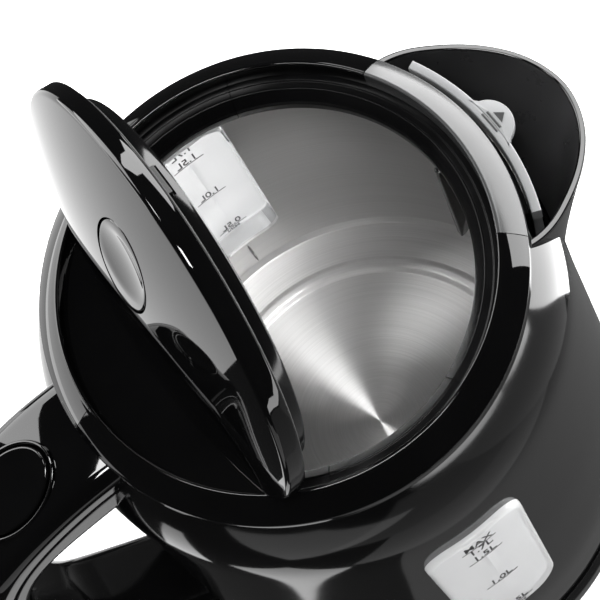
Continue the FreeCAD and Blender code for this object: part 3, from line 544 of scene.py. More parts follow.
def spout_block(name):
    zs = np.linspace(156.5, 222.0, 50)
    loops = []
    for z in zs:
        o = trough(min(z, 214.0), 0.0, 121)
        loops.append([(x, y, z) for x, y in o])
    return rings(name, loops)


# ---------------------------------------------------------------- outer shell
out_line = spline(SHELL, 84)
in_line = spline(SHELL, 30)
tan = np.gradient(in_line, axis=0)
tan /= np.linalg.norm(tan, axis=1)[:, None]
inner = [(r - 2.4 * t[1], max(z + 2.4 * t[0], 19.5)) for (r, z), t in zip(in_line, tan)]
shell = lathe("jug_shell", [tuple(q) for q in out_line] + inner[::-1], 256)
cut_windows = [prism("cut_w%d" % i, rounded_rect(16.05, 75.95, 166.05, 9.05), lo, hi, along_y)
               for i, (lo, hi) in enumerate(((40.0, 95.0), (-95.0, -40.0)))]
carve(shell, cut_windows + [spout_block("cut_spout")])
piece(shell, "jug", BODY, ["outer_shell"], reshade=False)

# ---------------------------------------------------------------- collar, bridge, seat
def collar_section():
    """Inner face, rounded crest, a gently crowned slope, rounded outer edge."""
    top = fillet([(58.2, 202.0), (58.2, 215.2), (59.15, 215.2), (65.75, 209.45), (66.0, 207.0), (65.3, 206.6), (62.8, 204.8), (62.8, 202.0)],
                 [0.2, 0.45, 0.5, 0.75, 0.35, 0.3, 0.3, 0.3], 7)
    out = []
    for i, p in enumerate(top):
        out.append(p)
        q = top[(i + 1) % len(top)]
        d = math.hypot(q[0] - p[0], q[1] - p[1])
        if d > 5.0 and p[1] > 209 and q[0] > 60:
            for k in range(1, 12):
                f = k / 12.0
                crown = 0.30 * 4 * f * (1 - f)
                out.append((p[0] + (q[0] - p[0]) * f + crown * 0.657, p[1] + (q[1] - p[1]) * f + crown * 0.754))
        elif d > 3.0:
            for k in range(1, 4):
                out.append((p[0] + (q[0] - p[0]) * k / 4.0, p[1] + (q[1] - p[1]) * k / 4.0))
    return out


col = collar_section()
collar = lathe("collar_ring", col, 300, 30.0, 330.0, dents=[(180.0, 0.07, 0.25)])
piece(collar, "jug", GLOSS, ["rim_collar"])
bridge = lathe("collar_bridge", col, 80, -29.8, 29.8)
piece(bridge, "jug", SILVER, ["spout_bridge"])
seat_sec = fillet([(51.2, 202.0), (58.2, 202.0), (58.2, 208.7), (56.6, 208.7), (56.3, 208.3), (54.6, 208.3), (54.2, 208.7), (51.7, 205.5), (51.2, 204.6)],
                  [0.2, 0.1, 0.1, 0.2, 0.2, 0.2, 0.35, 0.5, 0.4], 5)
seat = lathe("lid_seat", seat_sec, 320, dents=[(291.0, 0.10, 0.22), (249.0, 0.10, 0.22), (69.0, 0.10, 0.22), (111.0, 0.10, 0.22)])
piece(seat, "jug", SEAT, ["lid_seat_ring"])

# ---------------------------------------------------------------- steel pot
pot_sec = fillet([(0.0, 53.0), (54.2, 53.0), (56.0, 54.25), (58.4, 54.25), (60.2, 53.0), (73.0, 53.0), (74.45, 55.4), (63.2, 201.2),
                  (64.2, 201.2), (75.4, 56.4), (74.8, 53.4), (72.9, 52.0), (0.0, 52.0)],
                 [0, 1.2, 2.2, 2.2, 1.2, 0.6, 0.6, 0.3, 0.3, 1.0, 1.0, 1.0, 0], 8)
dense = []
for i, p in enumerate(pot_sec):
    dense.append(p)
    q = pot_sec[(i + 1) % len(pot_sec)]
    d = math.hypot(q[0] - p[0], q[1] - p[1])
    for k in range(1, int(d / 7.0)):
        f = k / float(int(d / 7.0))
        dense.append((p[0] + (q[0] - p[0]) * f, p[1] + (q[1] - p[1]) * f))
pot = lathe("steel_pot", dense, 320)
pot_cuts = [prism("cut_pw%d" % i, rounded_rect(14.2, 77.8, 181.0, 7.2), lo, hi, along_y)
            for i, (lo, hi) in enumerate(((40.0, 95.0), (-95.0, -40.0)))]
pot_cuts.append(prism("cut_pour", [(52.0, 165.0), (72.0, 165.0), (72.0, 198.5), (52.0, 198.5)], -21.0, 21.0, along_y))
carve(pot, pot_cuts)
piece(pot, "jug", POT, ["inner_pot"], reshade=False)


def bead(name, pts, r, n=8):
    """A thin round bead along a short path."""
    p = np.array(pts, float)
    loops = []
    for i in range(len(p)):
        t = p[min(i + 1, len(p) - 1)] - p[max(i - 1, 0)]
        t /= np.linalg.norm(t)
        a = np.cross(t, (1.0, 0.0, 0.0))
        if np.linalg.norm(a) < 1e-3:
            a = np.cross(t, (0.0, 1.0, 0.0))
        a /= np.linalg.norm(a)
        b = np.cross(t, a)
        e = min(1.0, 0.35 + 0.65 * min(i, len(p) - 1 - i) / 2.0)
        loops.append([tuple(p[i] + r * e * (math.cos(w) * a + math.sin(w) * b)) for w in np.linspace(0, 2 * math.pi, n, endpoint=False)])
    return rings(name, loops)


for side, sg in (("left", 1.0), ("right", -1.0)):
    w = bead("pot_weld_" + side, [(0.0, sg * (pot_in(z) - 0.02), z) for z in np.linspace(56.8, 77.2, 9)], 0.5)
    piece(w, "jug", BRIGHT)

# ---------------------------------------------------------------- level windows with their scale
def tray(name, sg, half, z0, z1, r_low, r_top, off_in, off_out, soft):
    """A shallow tray, open towards the pot: wall 1.8 mm, its back between two offsets from the shell."""
    base = []
    for cx, cz, a0, r in ((half - r_low, z0 + r_low, -90, r_low), (half - r_top, z1 - r_top, 0, r_top),
                          (-half + r_top, z1 - r_top, 90, r_top), (-half + r_low, z0 + r_low, 180, r_low)):
        for k in range(11):
            a = math.radians(a0 + 9 * k)
            base.append((cx + r * math.cos(a), cz + r * math.sin(a), math.cos(a), math.sin(a)))
    full = []
    for i, p in enumerate(base):
        q = base[(i + 1) % len(base)]
        d = math.hypot(q[0] - p[0], q[1] - p[1])
        steps = max(1, int(d / 3.0))
        for k in range(steps):
            f = k / steps
            full.append(tuple(p[m] * (1 - f) + q[m] * f for m in range(4)))

    def inset(d):
        return [(x - d * nx, z - d * nz) for x, z, nx, nz in full]

    def at(x, z, off):
        r = shell_out(z) + off
        return (x, sg * math.sqrt(r * r - x * x), z)

    def at_pot(x, z):
        r = pot_out(z) + 0.02
        return (x, sg * math.sqrt(r * r - x * x), z)

    h = min(half, 0.5 * (z1 - z0))

    def shrunk(o, s):
        out = []
        for x, z in o:
            mz = max(z0 + h, min(z1 - h, z))
            out.append((x * s, mz + (z - mz) * s))
        return out

    inner = inset(1.8)
    loops = []
    for s in (0.02, 0.15, 0.3, 0.45, 0.6, 0.75, 0.88):
        loops.append([at(x, z, off_in) for x, z in shrunk(inner, s)])
    for k in range(4):
        a = 0.5 * math.pi * k / 3
        loops.append([at(x, z, off_in - 0.6 * (1 - math.cos(a))) for x, z in inset(1.8 + 0.6 * (1 - math.sin(a)))])
    for f in (0.35, 0.7, 1.0):
        loops.append([tuple(np.array(at(x, z, off_in - 0.6)) * (1 - f) + np.array(at_pot(x, z)) * f) for x, z in inner])
    loops.append([at_pot(x, z) for x, z in inset(0.0)])
    for f in (0.5, 1.0):
        loops.append([tuple(np.array(at_pot(x, z)) * (1 - f) + np.array(at(x, z, off_out - soft)) * f) for x, z in inset(0.0)])
    for k in range(1, 6):
        a = 0.5 * math.pi * k / 5
        loops.append([at(x, z, off_out - soft + soft * math.sin(a)) for x, z in inset(soft * (1 - math.cos(a)))])
    edge = inset(soft)
    for s in (0.97, 0.9, 0.78, 0.65, 0.5, 0.35, 0.2, 0.02):
        loops.append([at(x, z, off_out) for x, z in shrunk(edge, s)])
    return rings(name, loops)


def way_up(name, sg):
    """The passage between the window and its hidden upper part."""
    lo, hi = (60.0, 70.4) if sg > 0 else (-70.4, -60.0)
    return prism(name, [(-14.2, 160.0), (14.2, 160.0), (14.2, 172.0), (-14.2, 172.0)], lo, hi, along_y)


def window(side, sg):
    low = tray("window_" + side, sg, 16.0, 76.0, 166.0, 9.0, 9.0, -0.6, 2.0, 1.1)
    carve(low, [way_up("cut_way_a", sg)], angle=35.0)
    piece(low, "jug", WINDOW, ["level_window_" + side], reshade=False)
    low.data.materials.append(WINDOW_EDGE)
    for f in low.data.polygons:
        if f.center.z < 0.0792 and f.normal.z > 0.5:
            f.material_index = 1
    high = tray("window_upper_" + side, sg, 16.0, 166.03, 182.8, 2.0, 8.0, -4.4, -2.8, 0.3)
    carve(high, [way_up("cut_way_b", sg)], angle=35.0)
    piece(high, "jug", WINDOW, reshade=False)


def printed(name, sg, off, items):
    """Lines and lettering laid on the window, reading from outside."""
    verts, faces = [], []

    def put(u, v):
        z = v
        x = u if sg < 0 else -u
        r = shell_out(z) + off
        return (x, sg * math.sqrt(r * r - x * x), z)

    for kind, u, v, arg in items:
        if kind == "line":
            w, t = arg
            k = 12
            b0 = len(verts)
            for i in range(k + 1):
                uu = u + w * i / k
                verts += [put(uu, v - t / 2), put(uu, v + t / 2)]
            faces += [(b0 + 2 * i, b0 + 2 * i + 2, b0 + 2 * i + 3, b0 + 2 * i + 1) for i in range(k)]
        else:
            text, size = arg
            cu = bpy.data.curves.new("lettering", "FONT")
            cu.body = text
            cu.size = size
            cu.align_x = "CENTER"
            cu.resolution_u = 4
            cu.offset = 0.06
            tmp = bpy.data.objects.new("lettering_tmp", cu)
            SCENE.collection.objects.link(tmp)
            dg = bpy.context.evaluated_depsgraph_get()
            me = bpy.data.meshes.new_from_object(tmp.evaluated_get(dg))
            b0 = len(verts)
            verts += [put(u + q.co.x, v + (1.3 if size > 4.0 else 1.0) * q.co.y) for q in me.vertices]
            faces += [tuple(b0 + i for i in p.vertices) for p in me.polygons]
            bpy.data.objects.remove(tmp)
            bpy.data.curves.remove(cu)
            bpy.data.meshes.remove(me)
    me = bpy.data.meshes.new(name)
    me.from_pydata([(a * MM, b * MM, c * MM) for a, b, c in verts], [], faces)
    me.update()
    o = bpy.data.objects.new(name, me)
    SCENE.collection.objects.link(o)
    bm = bmesh.new()
    bm.from_mesh(me)
    bmesh.ops.remove_doubles(bm, verts=bm.verts, dist=1e-7)
    bmesh.ops.dissolve_degenerate(bm, edges=bm.edges, dist=1e-7)
    bm.to_mesh(me)
    bm.free()
    sol = o.modifiers.new("ink", "SOLIDIFY")
    sol.thickness = 0.00006
    sol.offset = 0.0
    dg = bpy.context.evaluated_depsgraph_get()
    solid = bpy.data.meshes.new_from_object(o.evaluated_get(dg))
    o.modifiers.clear()
    o.data = solid
    bpy.data.meshes.remove(me)
    clean(o)
    piece(o, "jug", INK, angle=20.0)
    return o


marks = []
for z, label in ((81.0, "0.5L"), (114.0, "1.0L"), (145.5, "1.5L"), (158.0, "1.7L")):
    marks.append(("line", -5.7, z, (11.4, 0.38)))
    marks.append(("text", 0.0, z - 4.7 if label == "1.7L" else z + 0.8, (label, 4.6)))
marks.append(("text", 0.0, 158.8, ("MAX", 4.3)))
for side, sg in (("left", 1.0), ("right", -1.0)):
    window(side, sg)
    if sg < 0:
        printed("scale_" + side, sg, 2.035, marks + [("text", 0.0, 77.9, ("MIN", 3.0))])
    else:
        printed("scale_" + side, sg, -0.635, marks[:-1] + [("text", 0.0, 78.3, ("MIN", 2.9))])

# ---------------------------------------------------------------- spout
def spout_mesh():
    """Trough with a lip that falls towards its tip; every column ends on the sloped lip plane."""
    n = 161
    grid = np.linspace(156.0, 208.0, 105)

    def trimmed(z, inset):
        o = trough(z, inset, 401)
        rt = max(66.25 if z > 200.0 else 0.0, shell_out(z) - 1.3 if z < 206.4 else 0.0)
        r = np.hypot(o[:, 0], o[:, 1])
        lo = hi = 200
        while lo > 0 and r[lo - 1] >= rt:
            lo -= 1
        while hi < 400 and r[hi + 1] >= rt:
            hi += 1
        seg = o[lo:hi + 1]
        s = np.r_[0, np.cumsum(np.linalg.norm(np.diff(seg, axis=0), axis=1))]
        want = np.linspace(0, s[-1], n)
        return np.stack([np.interp(want, s, seg[:, k]) for k in range(2)], 1)

    table = {d: np.array([trimmed(z, d) for z in grid]) for d in (0.0, 2.0)}

    def at(i, z, d):
        f = d / 2.0
        q = [np.interp(z, grid, table[0.0][:, i, k]) * (1 - f) + np.interp(z, grid, table[2.0][:, i, k]) * f for k in range(2)]
        return (q[0], q[1], z)

    def lip(i, d):
        z = 202.0
        for _ in range(30):
            z = 204.0 - 0.25 * (at(i, z, d)[0] - 66.0)
        return z

    lips = {d: [lip(i, d) for i in range(n)] for d in (0.0, 2.0)}
    r = 0.55
    rows = []
    for t in np.linspace(0.0, 1.0, 36):
        rows.append([at(i, 158.0 + t * (lips[0.0][i] - r - 158.0), 0.0) for i in range(n)])
    for k in range(1, 12):
        if k < 6:
            a = 0.5 * math.pi * k / 5
            d = r * (1 - math.cos(a))
        else:
            a = 0.5 * math.pi * (11 - k) / 5
            d = 2.0 - r * (1 - math.cos(a))
        rows.append([at(i, lips[0.0][i] * (1 - d / 2) + lips[2.0][i] * d / 2 - r + r * math.sin(a), d) for i in range(n)])
    for t in np.linspace(1.0, 0.0, 36)[1:]:
        rows.append([at(i, 161.0 + t * (lips[2.0][i] - r - 161.0), 2.0) for i in range(n)])
    verts, faces = [], []
    for row in rows:
        verts += row
    for j in range(len(rows) - 1):
        for i in range(n - 1):
            faces.append((j * n + i, j * n + i + 1, (j + 1) * n + i + 1, (j + 1) * n + i))
    last = (len(rows) - 1) * n
    for i in range(n - 1):
        faces.append((i, i + 1, last + i + 1, last + i))
    j, k = 0, len(rows) - 1
    while k - j > 1:
        for e in (0, n - 1):
            if k - j == 2:
                faces.append((j * n + e, (j + 1) * n + e, k * n + e))
            else:
                faces.append((j * n + e, (j + 1) * n + e, (k - 1) * n + e, k * n + e))
        j, k = j + 1, k - 1
    return raw("pouring_spout", verts, faces)


spout = spout_mesh()
piece(spout, "jug", GLOSS, ["spout"], angle=40.0)
spout.data.materials.append(TROUGH)
for f in spout.data.polygons:
    if f.normal.x * (f.center.x - 0.066) + f.normal.y * f.center.y < 0.0 and f.center.z < 0.2034 - 0.25 * (f.center.x - 0.066):
        f.material_index = 1

# ---------------------------------------------------------------- throat, filter
throat_sec = fillet([(65.4, 201.6), (67.4, 201.6), (67.4, 166.5), (68.4, 161.0), (67.7, 161.0), (67.3, 164.5), (65.4, 199.0)], 0.1, 2)
throat = lathe("spout_frame", throat_sec, 60, -22.0, 22.0)
carve(throat, [prism("cut_throat", [(60.0, 168.0), (75.0, 168.0), (75.0, 197.5), (60.0, 197.5)], -19.0, 19.0, along_y)])
piece(throat, "jug", SEMI, ["spout_throat"], reshade=False)
rib_line = fillet([(50.6, 201.6), (61.6, 201.6), (61.6, 198.2), (66.6, 198.2), (66.6, 166.6), (63.4, 165.4), (52.2, 152.6), (50.6, 152.6)],
                  [0.3, 0, 0, 0, 0, 1.0, 0.6, 0.5], 4)
rib = soft_prism("splash_rib", rib_line, -1.1, 1.1, along_y, 0.3)
piece(rib, "jug", SEMI)

frame_sec = fillet([(67.8, 172.0), (70.4, 172.0), (70.4, 200.8), (67.8, 200.8)], [0.4, 0.4, 0.1, 0.1], 4)
sieve = lathe("filter_holder", frame_sec, 60, -20.0, 20.0)
carve(sieve, [prism("cut_sieve", [(60.0, 176.5), (80.0, 176.5), (80.0, 199.5), (60.0, 199.5)], -18.0, 18.0, along_y)])
piece(sieve, "filter", MILKY, ["filter_frame"], reshade=False)
rim_sec = fillet([(67.8, 200.6), (70.4, 200.6), (70.4, 206.0), (67.8, 206.0)], [0.3, 0.3, 0.5, 0.5], 4)
piece(lathe("filter_rim", rim_sec, 70, -23.5, 23.5), "filter", MILKY)


def tab_outline():
    """Round finger tab that grows out of the filter's rim with two fillets."""
    pts = []
    a0 = math.degrees(math.asin(9.6 / 70.2))
    for k in range(9):
        a = math.radians(-a0 + 2 * a0 * k / 8)
        pts.append((69.4 * math.cos(a), 69.4 * math.sin(a)))
    for k in range(17):
        a = math.radians(68 - 136 * k / 16)
        pts.append((68.0 + 7.5 * math.cos(a), 7.5 * math.sin(a)))
    return pts


up_z = lambda u, v, w: (u, v, w)
tab = soft_prism("filter_tab", tab_outline(), 203.6, 206.0, up_z, 0.35)
piece(tab, "filter", MILKY)
tri = [(73.9, -0.2), (71.7, 1.7), (71.7, -2.1)]
sign = soft_prism("filter_arrow", tri, 205.9, 206.25, up_z, 0.12, 2)
piece(sign, "filter", SILVER)
for i, (x0, x1, hw) in enumerate(((70.2, 71.0, 2.9), (68.9, 69.6, 3.3))):
    bar = soft_prism("filter_bar_%d" % i, [(x0, -hw), (x1, -hw), (x1, hw), (x0, hw)], 205.9, 206.25, up_z, 0.12, 2)
    piece(bar, "filter", SILVER)

# ---------------------------------------------------------------- handle
OUTER = [(58.0, 208.2), (66.3, 208.0), (75.0, 207.4), (83.0, 205.8), (91.0, 203.2), (99.0, 199.6), (107.0, 194.4),
         (114.6, 187.0), (121.4, 176.6), (126.4, 163.6), (129.4, 148.6), (130.8, 132.0), (131.0, 115.0), (129.6, 98.6),
         (125.6, 83.6), (118.6, 70.4), (109.8, 59.0), (100.4, 48.6), (90.6, 38.2), (76.0, 23.6)]
SEAM = [(58.0, 199.8), (66.3, 199.6), (74.4, 199.0), (81.4, 197.6), (88.4, 195.4), (95.2, 192.3), (101.6, 188.2),
        (108.2, 181.8), (113.8, 173.2), (118.2, 161.6), (121.0, 147.8), (122.4, 131.8), (122.6, 115.4), (121.3, 100.2),
        (117.7, 86.8), (111.6, 75.4), (103.4, 64.8), (94.3, 54.6), (84.7, 44.2), (71.0, 30.4)]
INNER = [(58.0, 186.4), (71.0, 186.2), (80.0, 185.4), (88.0, 184.2), (94.6, 182.0), (100.2, 178.4), (105.0, 172.6),
         (108.6, 164.4), (110.8, 154.0), (112.0, 141.0), (112.4, 127.0), (112.2, 113.0), (111.2, 100.5), (108.4, 89.4),
         (102.6, 80.0), (95.6, 71.3), (89.4, 63.6), (80.5, 53.0), (66.0, 37.0)]


def strip(name, a, b, half, big, small):
    """Moulding between contour a (outside, broad rounding) and contour b (seam side, tight rounding)."""
    n = 170
    pa, pb = spline(a, n), spline(b, n)
    loops = []
    for i in range(n):
        p, q = pa[i], pb[i]
        L = float(np.linalg.norm(q - p))
        d = (q - p) / L
        left = []
        for k in range(4):
            w = 0.5 * math.pi * k / 3
            left.append((-half + small * (1 - math.sin(w)), L - small * (1 - math.cos(w))))
        for k in range(1, 6):
            f = k / 6.0
            left.append((-half, (L - small) * (1 - f) + big * f))
        for k in range(11):
            w = 0.5 * math.pi * k / 10
            left.append((-half + big * (1 - math.cos(w)), big * (1 - math.sin(w))))
        top = []
        for k in range(1, 10):
            y = (-half + big) * (1 - 2 * k / 10.0)
            top.append((y, -0.35 * (1 - (y / (half - big)) ** 2)))
        right = [(-y, dd) for y, dd in left[::-1]]
        row = []
        for y, dd in left + top + right:
            c = p + d * dd
            row.append((-c[0], y, c[1]))
        loops.append(row)
    return rings(name, loops)


env_prof = [(r - 0.7, z) for r, z in spline(SHELL, 60)] + [(65.4, 206.9), (65.4, 218.0), (0.0, 218.0), (0.0, 19.5)]


def body_env(name):
    return lathe(name, env_prof, 200)


tilt = math.radians(19.0)


def on_switch(u, v, w):
    """Point above the switch: u along the handle towards the jug, v across, w out of the face."""
    return (-90.5 + u * math.cos(tilt) - w * math.sin(tilt), v, 203.3 + u * math.sin(tilt) + w * math.cos(tilt))


def oval(a, b, n=96):
    return [(a * math.cos(2 * math.pi * k / n), b * math.sin(2 * math.pi * k / n)) for k in range(n)]


SEAM2 = []
for i, q in enumerate(SEAM):
    a, b = SEAM[max(i - 1, 0)], SEAM[min(i + 1, len(SEAM) - 1)]
    tx, tz = b[0] - a[0], b[1] - a[1]
    nn = math.hypot(tx, tz)
    SEAM2.append((q[0] + 0.3 * tz / nn, q[1] - 0.3 * tx / nn))
CAVITY = [(-98.0, 188.5), (-73.0, 188.5), (-73.0, 198.2), (-98.0, 198.2)]
cover = strip("handle_top", OUTER, SEAM, 17.0, 5.0, 0.6)
pocket = prism("cut_switch", oval(16.25, 11.25), -16.0, 12.0, on_switch)
carve(cover, [body_env("cut_env_a"), pocket, prism("cut_cavity_a", CAVITY, -10.6, 10.6, along_y)])
piece(cover, "jug", GLOSS, ["handle_cover"], reshade=False)
grip = strip("handle_lower", INNER, SEAM2, 17.0, 5.0, 0.6)
carve(grip, [body_env("cut_env_b"), prism("cut_cavity_b", CAVITY, -10.6, 10.6, along_y)])
piece(grip, "jug", SEMI, ["handle_grip"], reshade=False)


def oval_ring(name, rows, place):
    """rows are (half length, half width, height)."""
    loops = [[place(u, v, w) for u, v in oval(a, b)] for a, b, w in rows]
    verts, faces = [], []
    k = len(loops[0])
    for lp in loops:
        verts += lp
    m = len(loops)
    for j in range(m):
        for i in range(k):
            faces.append((j * k + i, j * k + (i + 1) % k, ((j + 1) % m) * k + (i + 1) % k, ((j + 1) % m) * k + i))
    return raw(name, verts, faces)


bez = fillet([(0.0, -7.0), (1.1, -7.0), (1.1, 0.35), (0.55, 0.55), (0.0, 0.2)], [0, 0, 0.25, 0.25, 0.2], 4)
bezel = oval_ring("switch_ring", [(15.1 + d, 10.1 + d, w) for d, w in bez], on_switch)
piece(bezel, "jug", GLOSS, ["switch_bezel"])


def rocker():
    loops = []
    loops.append([on_switch(u, v, -5.0) for u, v in oval(2.0, 2.0)])
    loops.append([on_switch(u, v, -5.0) for u, v in oval(14.2, 9.2)])
    loops.append([on_switch(u, v, -4.6) for u, v in oval(14.6, 9.6)])
    loops.append([on_switch(u, v, -2.0) for u, v in oval(14.6, 9.6)])

    def face(u, v):
        return 120.4 - math.sqrt(120.0 ** 2 - (u * u + v * v)) + 0.0

    for k in range(0, 7):
        w = 0.5 * math.pi * k / 6
        d = 0.7 * (1 - math.cos(w))
        loops.append([on_switch(u, v, face(u, v) - 0.7 + 0.7 * math.sin(w)) for u, v in oval(14.6 - d, 9.6 - d)])
    for s in (0.92, 0.8, 0.65, 0.5, 0.35, 0.2, 0.05):
        loops.append([on_switch(u, v, face(u, v)) for u, v in oval(13.9 * s, 8.9 * s)])
    return rings("switch_rocker", loops)


rk = rocker()
piece(rk, "switch", GLOSS, ["switch_button"])
stem = soft_prism("switch_stem", [(-3, -3), (3, -3), (3, 3), (-3, 3)], -9.0, -4.9, on_switch, 0.2)
piece(stem, "switch", SATIN)

# ---------------------------------------------------------------- lid
HX, HZ = -32.0, 211.6
TH = math.radians(76.0)
CT, ST = math.cos(TH), math.sin(TH)


def opened(p):
    x, y, z = p
    return (HX + (x - HX) * CT - (z - HZ) * ST, y, HZ + (x - HX) * ST + (z - HZ) * CT)


DOME_R = (57.5 ** 2 + 8.0 ** 2) / 16.0


def dome(r):
    return 215.0 + math.sqrt(DOME_R ** 2 - r * r) - (DOME_R - 8.0)


def d_outline(R, chord, r, n_arc=180, n_chord=60, n_fil=10):
    """Circle of radius R with a straight rear edge at x = -chord and rounded corners, in step order."""
    r = max(r, 0.02)
    cx = -chord + r
    cy = math.sqrt(max((R - r) ** 2 - cx * cx, 1e-6))
    a_end = math.atan2(cy, cx)
    pts = []
    for k in range(n_arc):
        a = -a_end + 2 * a_end * k / (n_arc - 1)
        pts.append((R * math.cos(a), R * math.sin(a)))
    for k in range(1, n_fil):
        a = a_end + (math.pi - a_end) * k / n_fil
        pts.append((cx + r * math.cos(a), cy + r * math.sin(a)))
    for k in range(n_chord):
        pts.append((-chord, cy - 2 * cy * k / (n_chord - 1)))
    for k in range(1, n_fil):
        a = math.pi + (math.pi - a_end) * k / n_fil
        pts.append((cx + r * math.cos(a), -cy + r * math.sin(a)))
    return pts


def lid_loop(d, zfun):
    o = d_outline(57.5 - d, 28.0 - d, 4.5 - d)
    return [opened((x, y, zfun(x, y))) for x, y in o]


def lid_scaled(d, s, zfun):
    o = d_outline(57.5 - d, 28.0 - d, 4.5 - d)
    return [opened((x * s, y * s, zfun(x * s, y * s))) for x, y in o]


def dz(off):
    return lambda x, y: dome(min(math.hypot(x, y), 57.4)) + off


def flat(z):
    return lambda x, y: z


loops = []
for s in (0.02, 0.2, 0.4, 0.6, 0.8, 0.95):
    loops.append(lid_scaled(2.2, s, dz(-2.2)))
loops.append(lid_loop(2.2, lambda x, y: dome(min(math.hypot(x, y), 57.4)) - 2.6))
loops.append(lid_loop(2.2, flat(210.4)))
loops.append(lid_loop(1.9, flat(210.0)))
loops.append(lid_loop(0.4, flat(210.0)))
loops.append(lid_loop(0.12, flat(210.12)))
loops.append(lid_loop(0.0, flat(210.4)))
rim = lambda x, y: dome(min(math.hypot(x, y), 57.4))
for f in (0.35, 0.7, 1.0):
    loops.append(lid_loop(0.0, lambda x, y, f=f: 210.4 + (rim(x, y) - 1.0 - 210.4) * f))
for k in range(1, 8):
    a = 0.5 * math.pi * k / 7
    loops.append(lid_loop(0.9 * (1 - math.cos(a)), lambda x, y, a=a: rim(x, y) - 1.0 + (0.9 + 0.1 * (a / (0.5 * math.pi))) * math.sin(a)))
for d in (1.2, 1.8):
    loops.append(lid_loop(d, dz(0.0)))
for s in np.linspace(0.98, 0.02, 34):
    loops.append(lid_scaled(1.8, s, dz(0.0)))
lid = rings("lid_top", loops)
by_lid = lambda u, v, w: opened((25.0 + u, v, w))
hole = prism("cut_button", oval(15.1, 10.7, 128), 212.4, 240.0, by_lid)
carve(lid, [hole], angle=34.0)
piece(lid, "lid", GLOSS, ["lid_cover"], reshade=False)


def lug(name, y0, y1):
    pts = []
    for k in range(17):
        a = math.radians(90 + 180 * k / 16)
        pts.append((HX + 3.2 * math.cos(a), HZ + 3.2 * math.sin(a)))
    pts += [(-27.4, HZ - 3.2), (-27.4, HZ + 3.2)]
    o = soft_prism(name, pts, y0, y1, lambda u, v, w: opened((u, w, v)), 0.4)
    hole_ = prism("cut_" + name, [(HX + 1.55 * math.cos(a), HZ + 1.55 * math.sin(a)) for a in np.linspace(0, 2 * math.pi, 40, endpoint=False)],
                  y0 - 2, y1 + 2, lambda u, v, w: opened((u, w, v)))
    carve(o, [hole_])
    return o


for i, (y0, y1) in enumerate(((9.5, 20.0), (-20.0, -9.5))):
    piece(lug("lid_arm_%d" % i, y0, y1), "lid", GLOSS, reshade=False)


def button():
    cx = 25.0
    sphere = (cx + 0.16 * 46.0, dome(25.0) - 1.3 + 46.0 * 0.987)

    def face(u, v):
        x = cx + u
        z = dome(math.hypot(x, v))
        q = 46.0 ** 2 - (x - sphere[0]) ** 2 - v * v
        dish = sphere[1] - math.sqrt(q) if q > 0 else 999.0
        k = 0.35
        h = max(0.0, min(1.0, 0.5 + 0.5 * (dish - z) / k))
        return dish * (1 - h) + z * h - k * h * (1 - h)

    loops = [[by_lid(u, v, 217.7) for u, v in oval(2.0, 2.0, 128)], [by_lid(u, v, 217.7) for u, v in oval(14.2, 9.8, 128)],
             [by_lid(u, v, 218.0) for u, v in oval(14.6, 10.2, 128)]]
    for k in range(0, 7):
        w = 0.5 * math.pi * k / 6
        d = 0.6 * (1 - math.cos(w))
        loops.append([by_lid(u, v, face(u, v) - 0.6 + 0.6 * math.sin(w)) for u, v in oval(14.6 - d, 10.2 - d, 128)])
    for s in np.linspace(0.96, 0.03, 26):
        loops.append([by_lid(u, v, face(u, v)) for u, v in oval(14.0 * s, 9.6 * s, 128)])
    return rings("lid_push_button", loops)


piece(button(), "lid_button", GLOSS, ["lid_button"])
bstem = soft_prism("lid_button_post", [(3 * math.cos(a), 3 * math.sin(a)) for a in np.linspace(0, 2 * math.pi, 40, endpoint=False)], 212.6, 218.0, by_lid, 0.3)
piece(bstem, "lid_button", SATIN)


def button_spring(name, y):
    """Coil under the lid's button: radius 2 mm, wire 0.9 mm, five turns."""
    loops = []
    for i in range(121):
        w = 2 * math.pi * i / 24
        a = np.array((math.cos(w), math.sin(w), 0.0))
        t = np.array((-2.0 * math.sin(w), 2.0 * math.cos(w), 2.1 / (2 * math.pi)))
        b = np.cross(t / np.linalg.norm(t), a)
        c = np.array((25.0, y, 206.6 + 2.1 * i / 24)) + 2.0 * a
        e = 0.45 * min(1.0, 0.35 + 0.65 * min(i, 120 - i) / 2.0)
        loops.append([opened(c + e * (math.cos(q) * a + math.sin(q) * b)) for q in np.linspace(0, 2 * math.pi, 10, endpoint=False)])
    return rings(name, loops)


for side, y in (("a", 6.6), ("b", -6.6)):
    coil = piece(button_spring("lid_button_coil_" + side, y), "lid", BRIGHT, ["lid_button_springs"])
    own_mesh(coil)


def plate_loop(R, chord, z, r=1.2, s=1.0):
    return [opened((x * s, y * s, z)) for x, y in d_outline(R, chord, r)]


loops = []
for s in (0.03, 0.3, 0.6, 0.9):
    loops.append(plate_loop(44.0, 20.5, 205.5, 4.0, s))
for R, c, z, r in ((43.6, 20.1, 205.5, 4.0), (44.0, 20.5, 205.35, 4.0), (44.3, 20.8, 204.95, 4.0), (44.7, 21.2, 204.8, 4.0),
                   (49.4, 24.7, 204.8, 1.6), (49.9, 25.25, 204.92, 1.5), (50.25, 25.55, 205.25, 1.3), (50.4, 25.7, 205.8, 1.2),
                   (50.4, 25.7, 208.0, 1.2), (50.4, 25.7, 210.0, 1.2), (55.1, 25.7, 210.0, 1.2), (55.1, 25.7, 211.2, 1.2), (48.8, 24.1, 211.2, 1.0),
                   (48.8, 24.1, 206.2, 1.0)):
    loops.append(plate_loop(R, c, z, r))
for s in (0.7, 0.35, 0.03):
    loops.append(plate_loop(48.8, 24.1, 206.2, 1.0, s))
plate = rings("lid_underside", loops)
slot_cut = prism("cut_latch", [(46.0, 206.6), (54.0, 206.6), (54.0, 209.6), (46.0, 209.6)], -4.4, 4.4, lambda u, v, w: opened((u, w, v)))
carve(plate, [slot_cut])
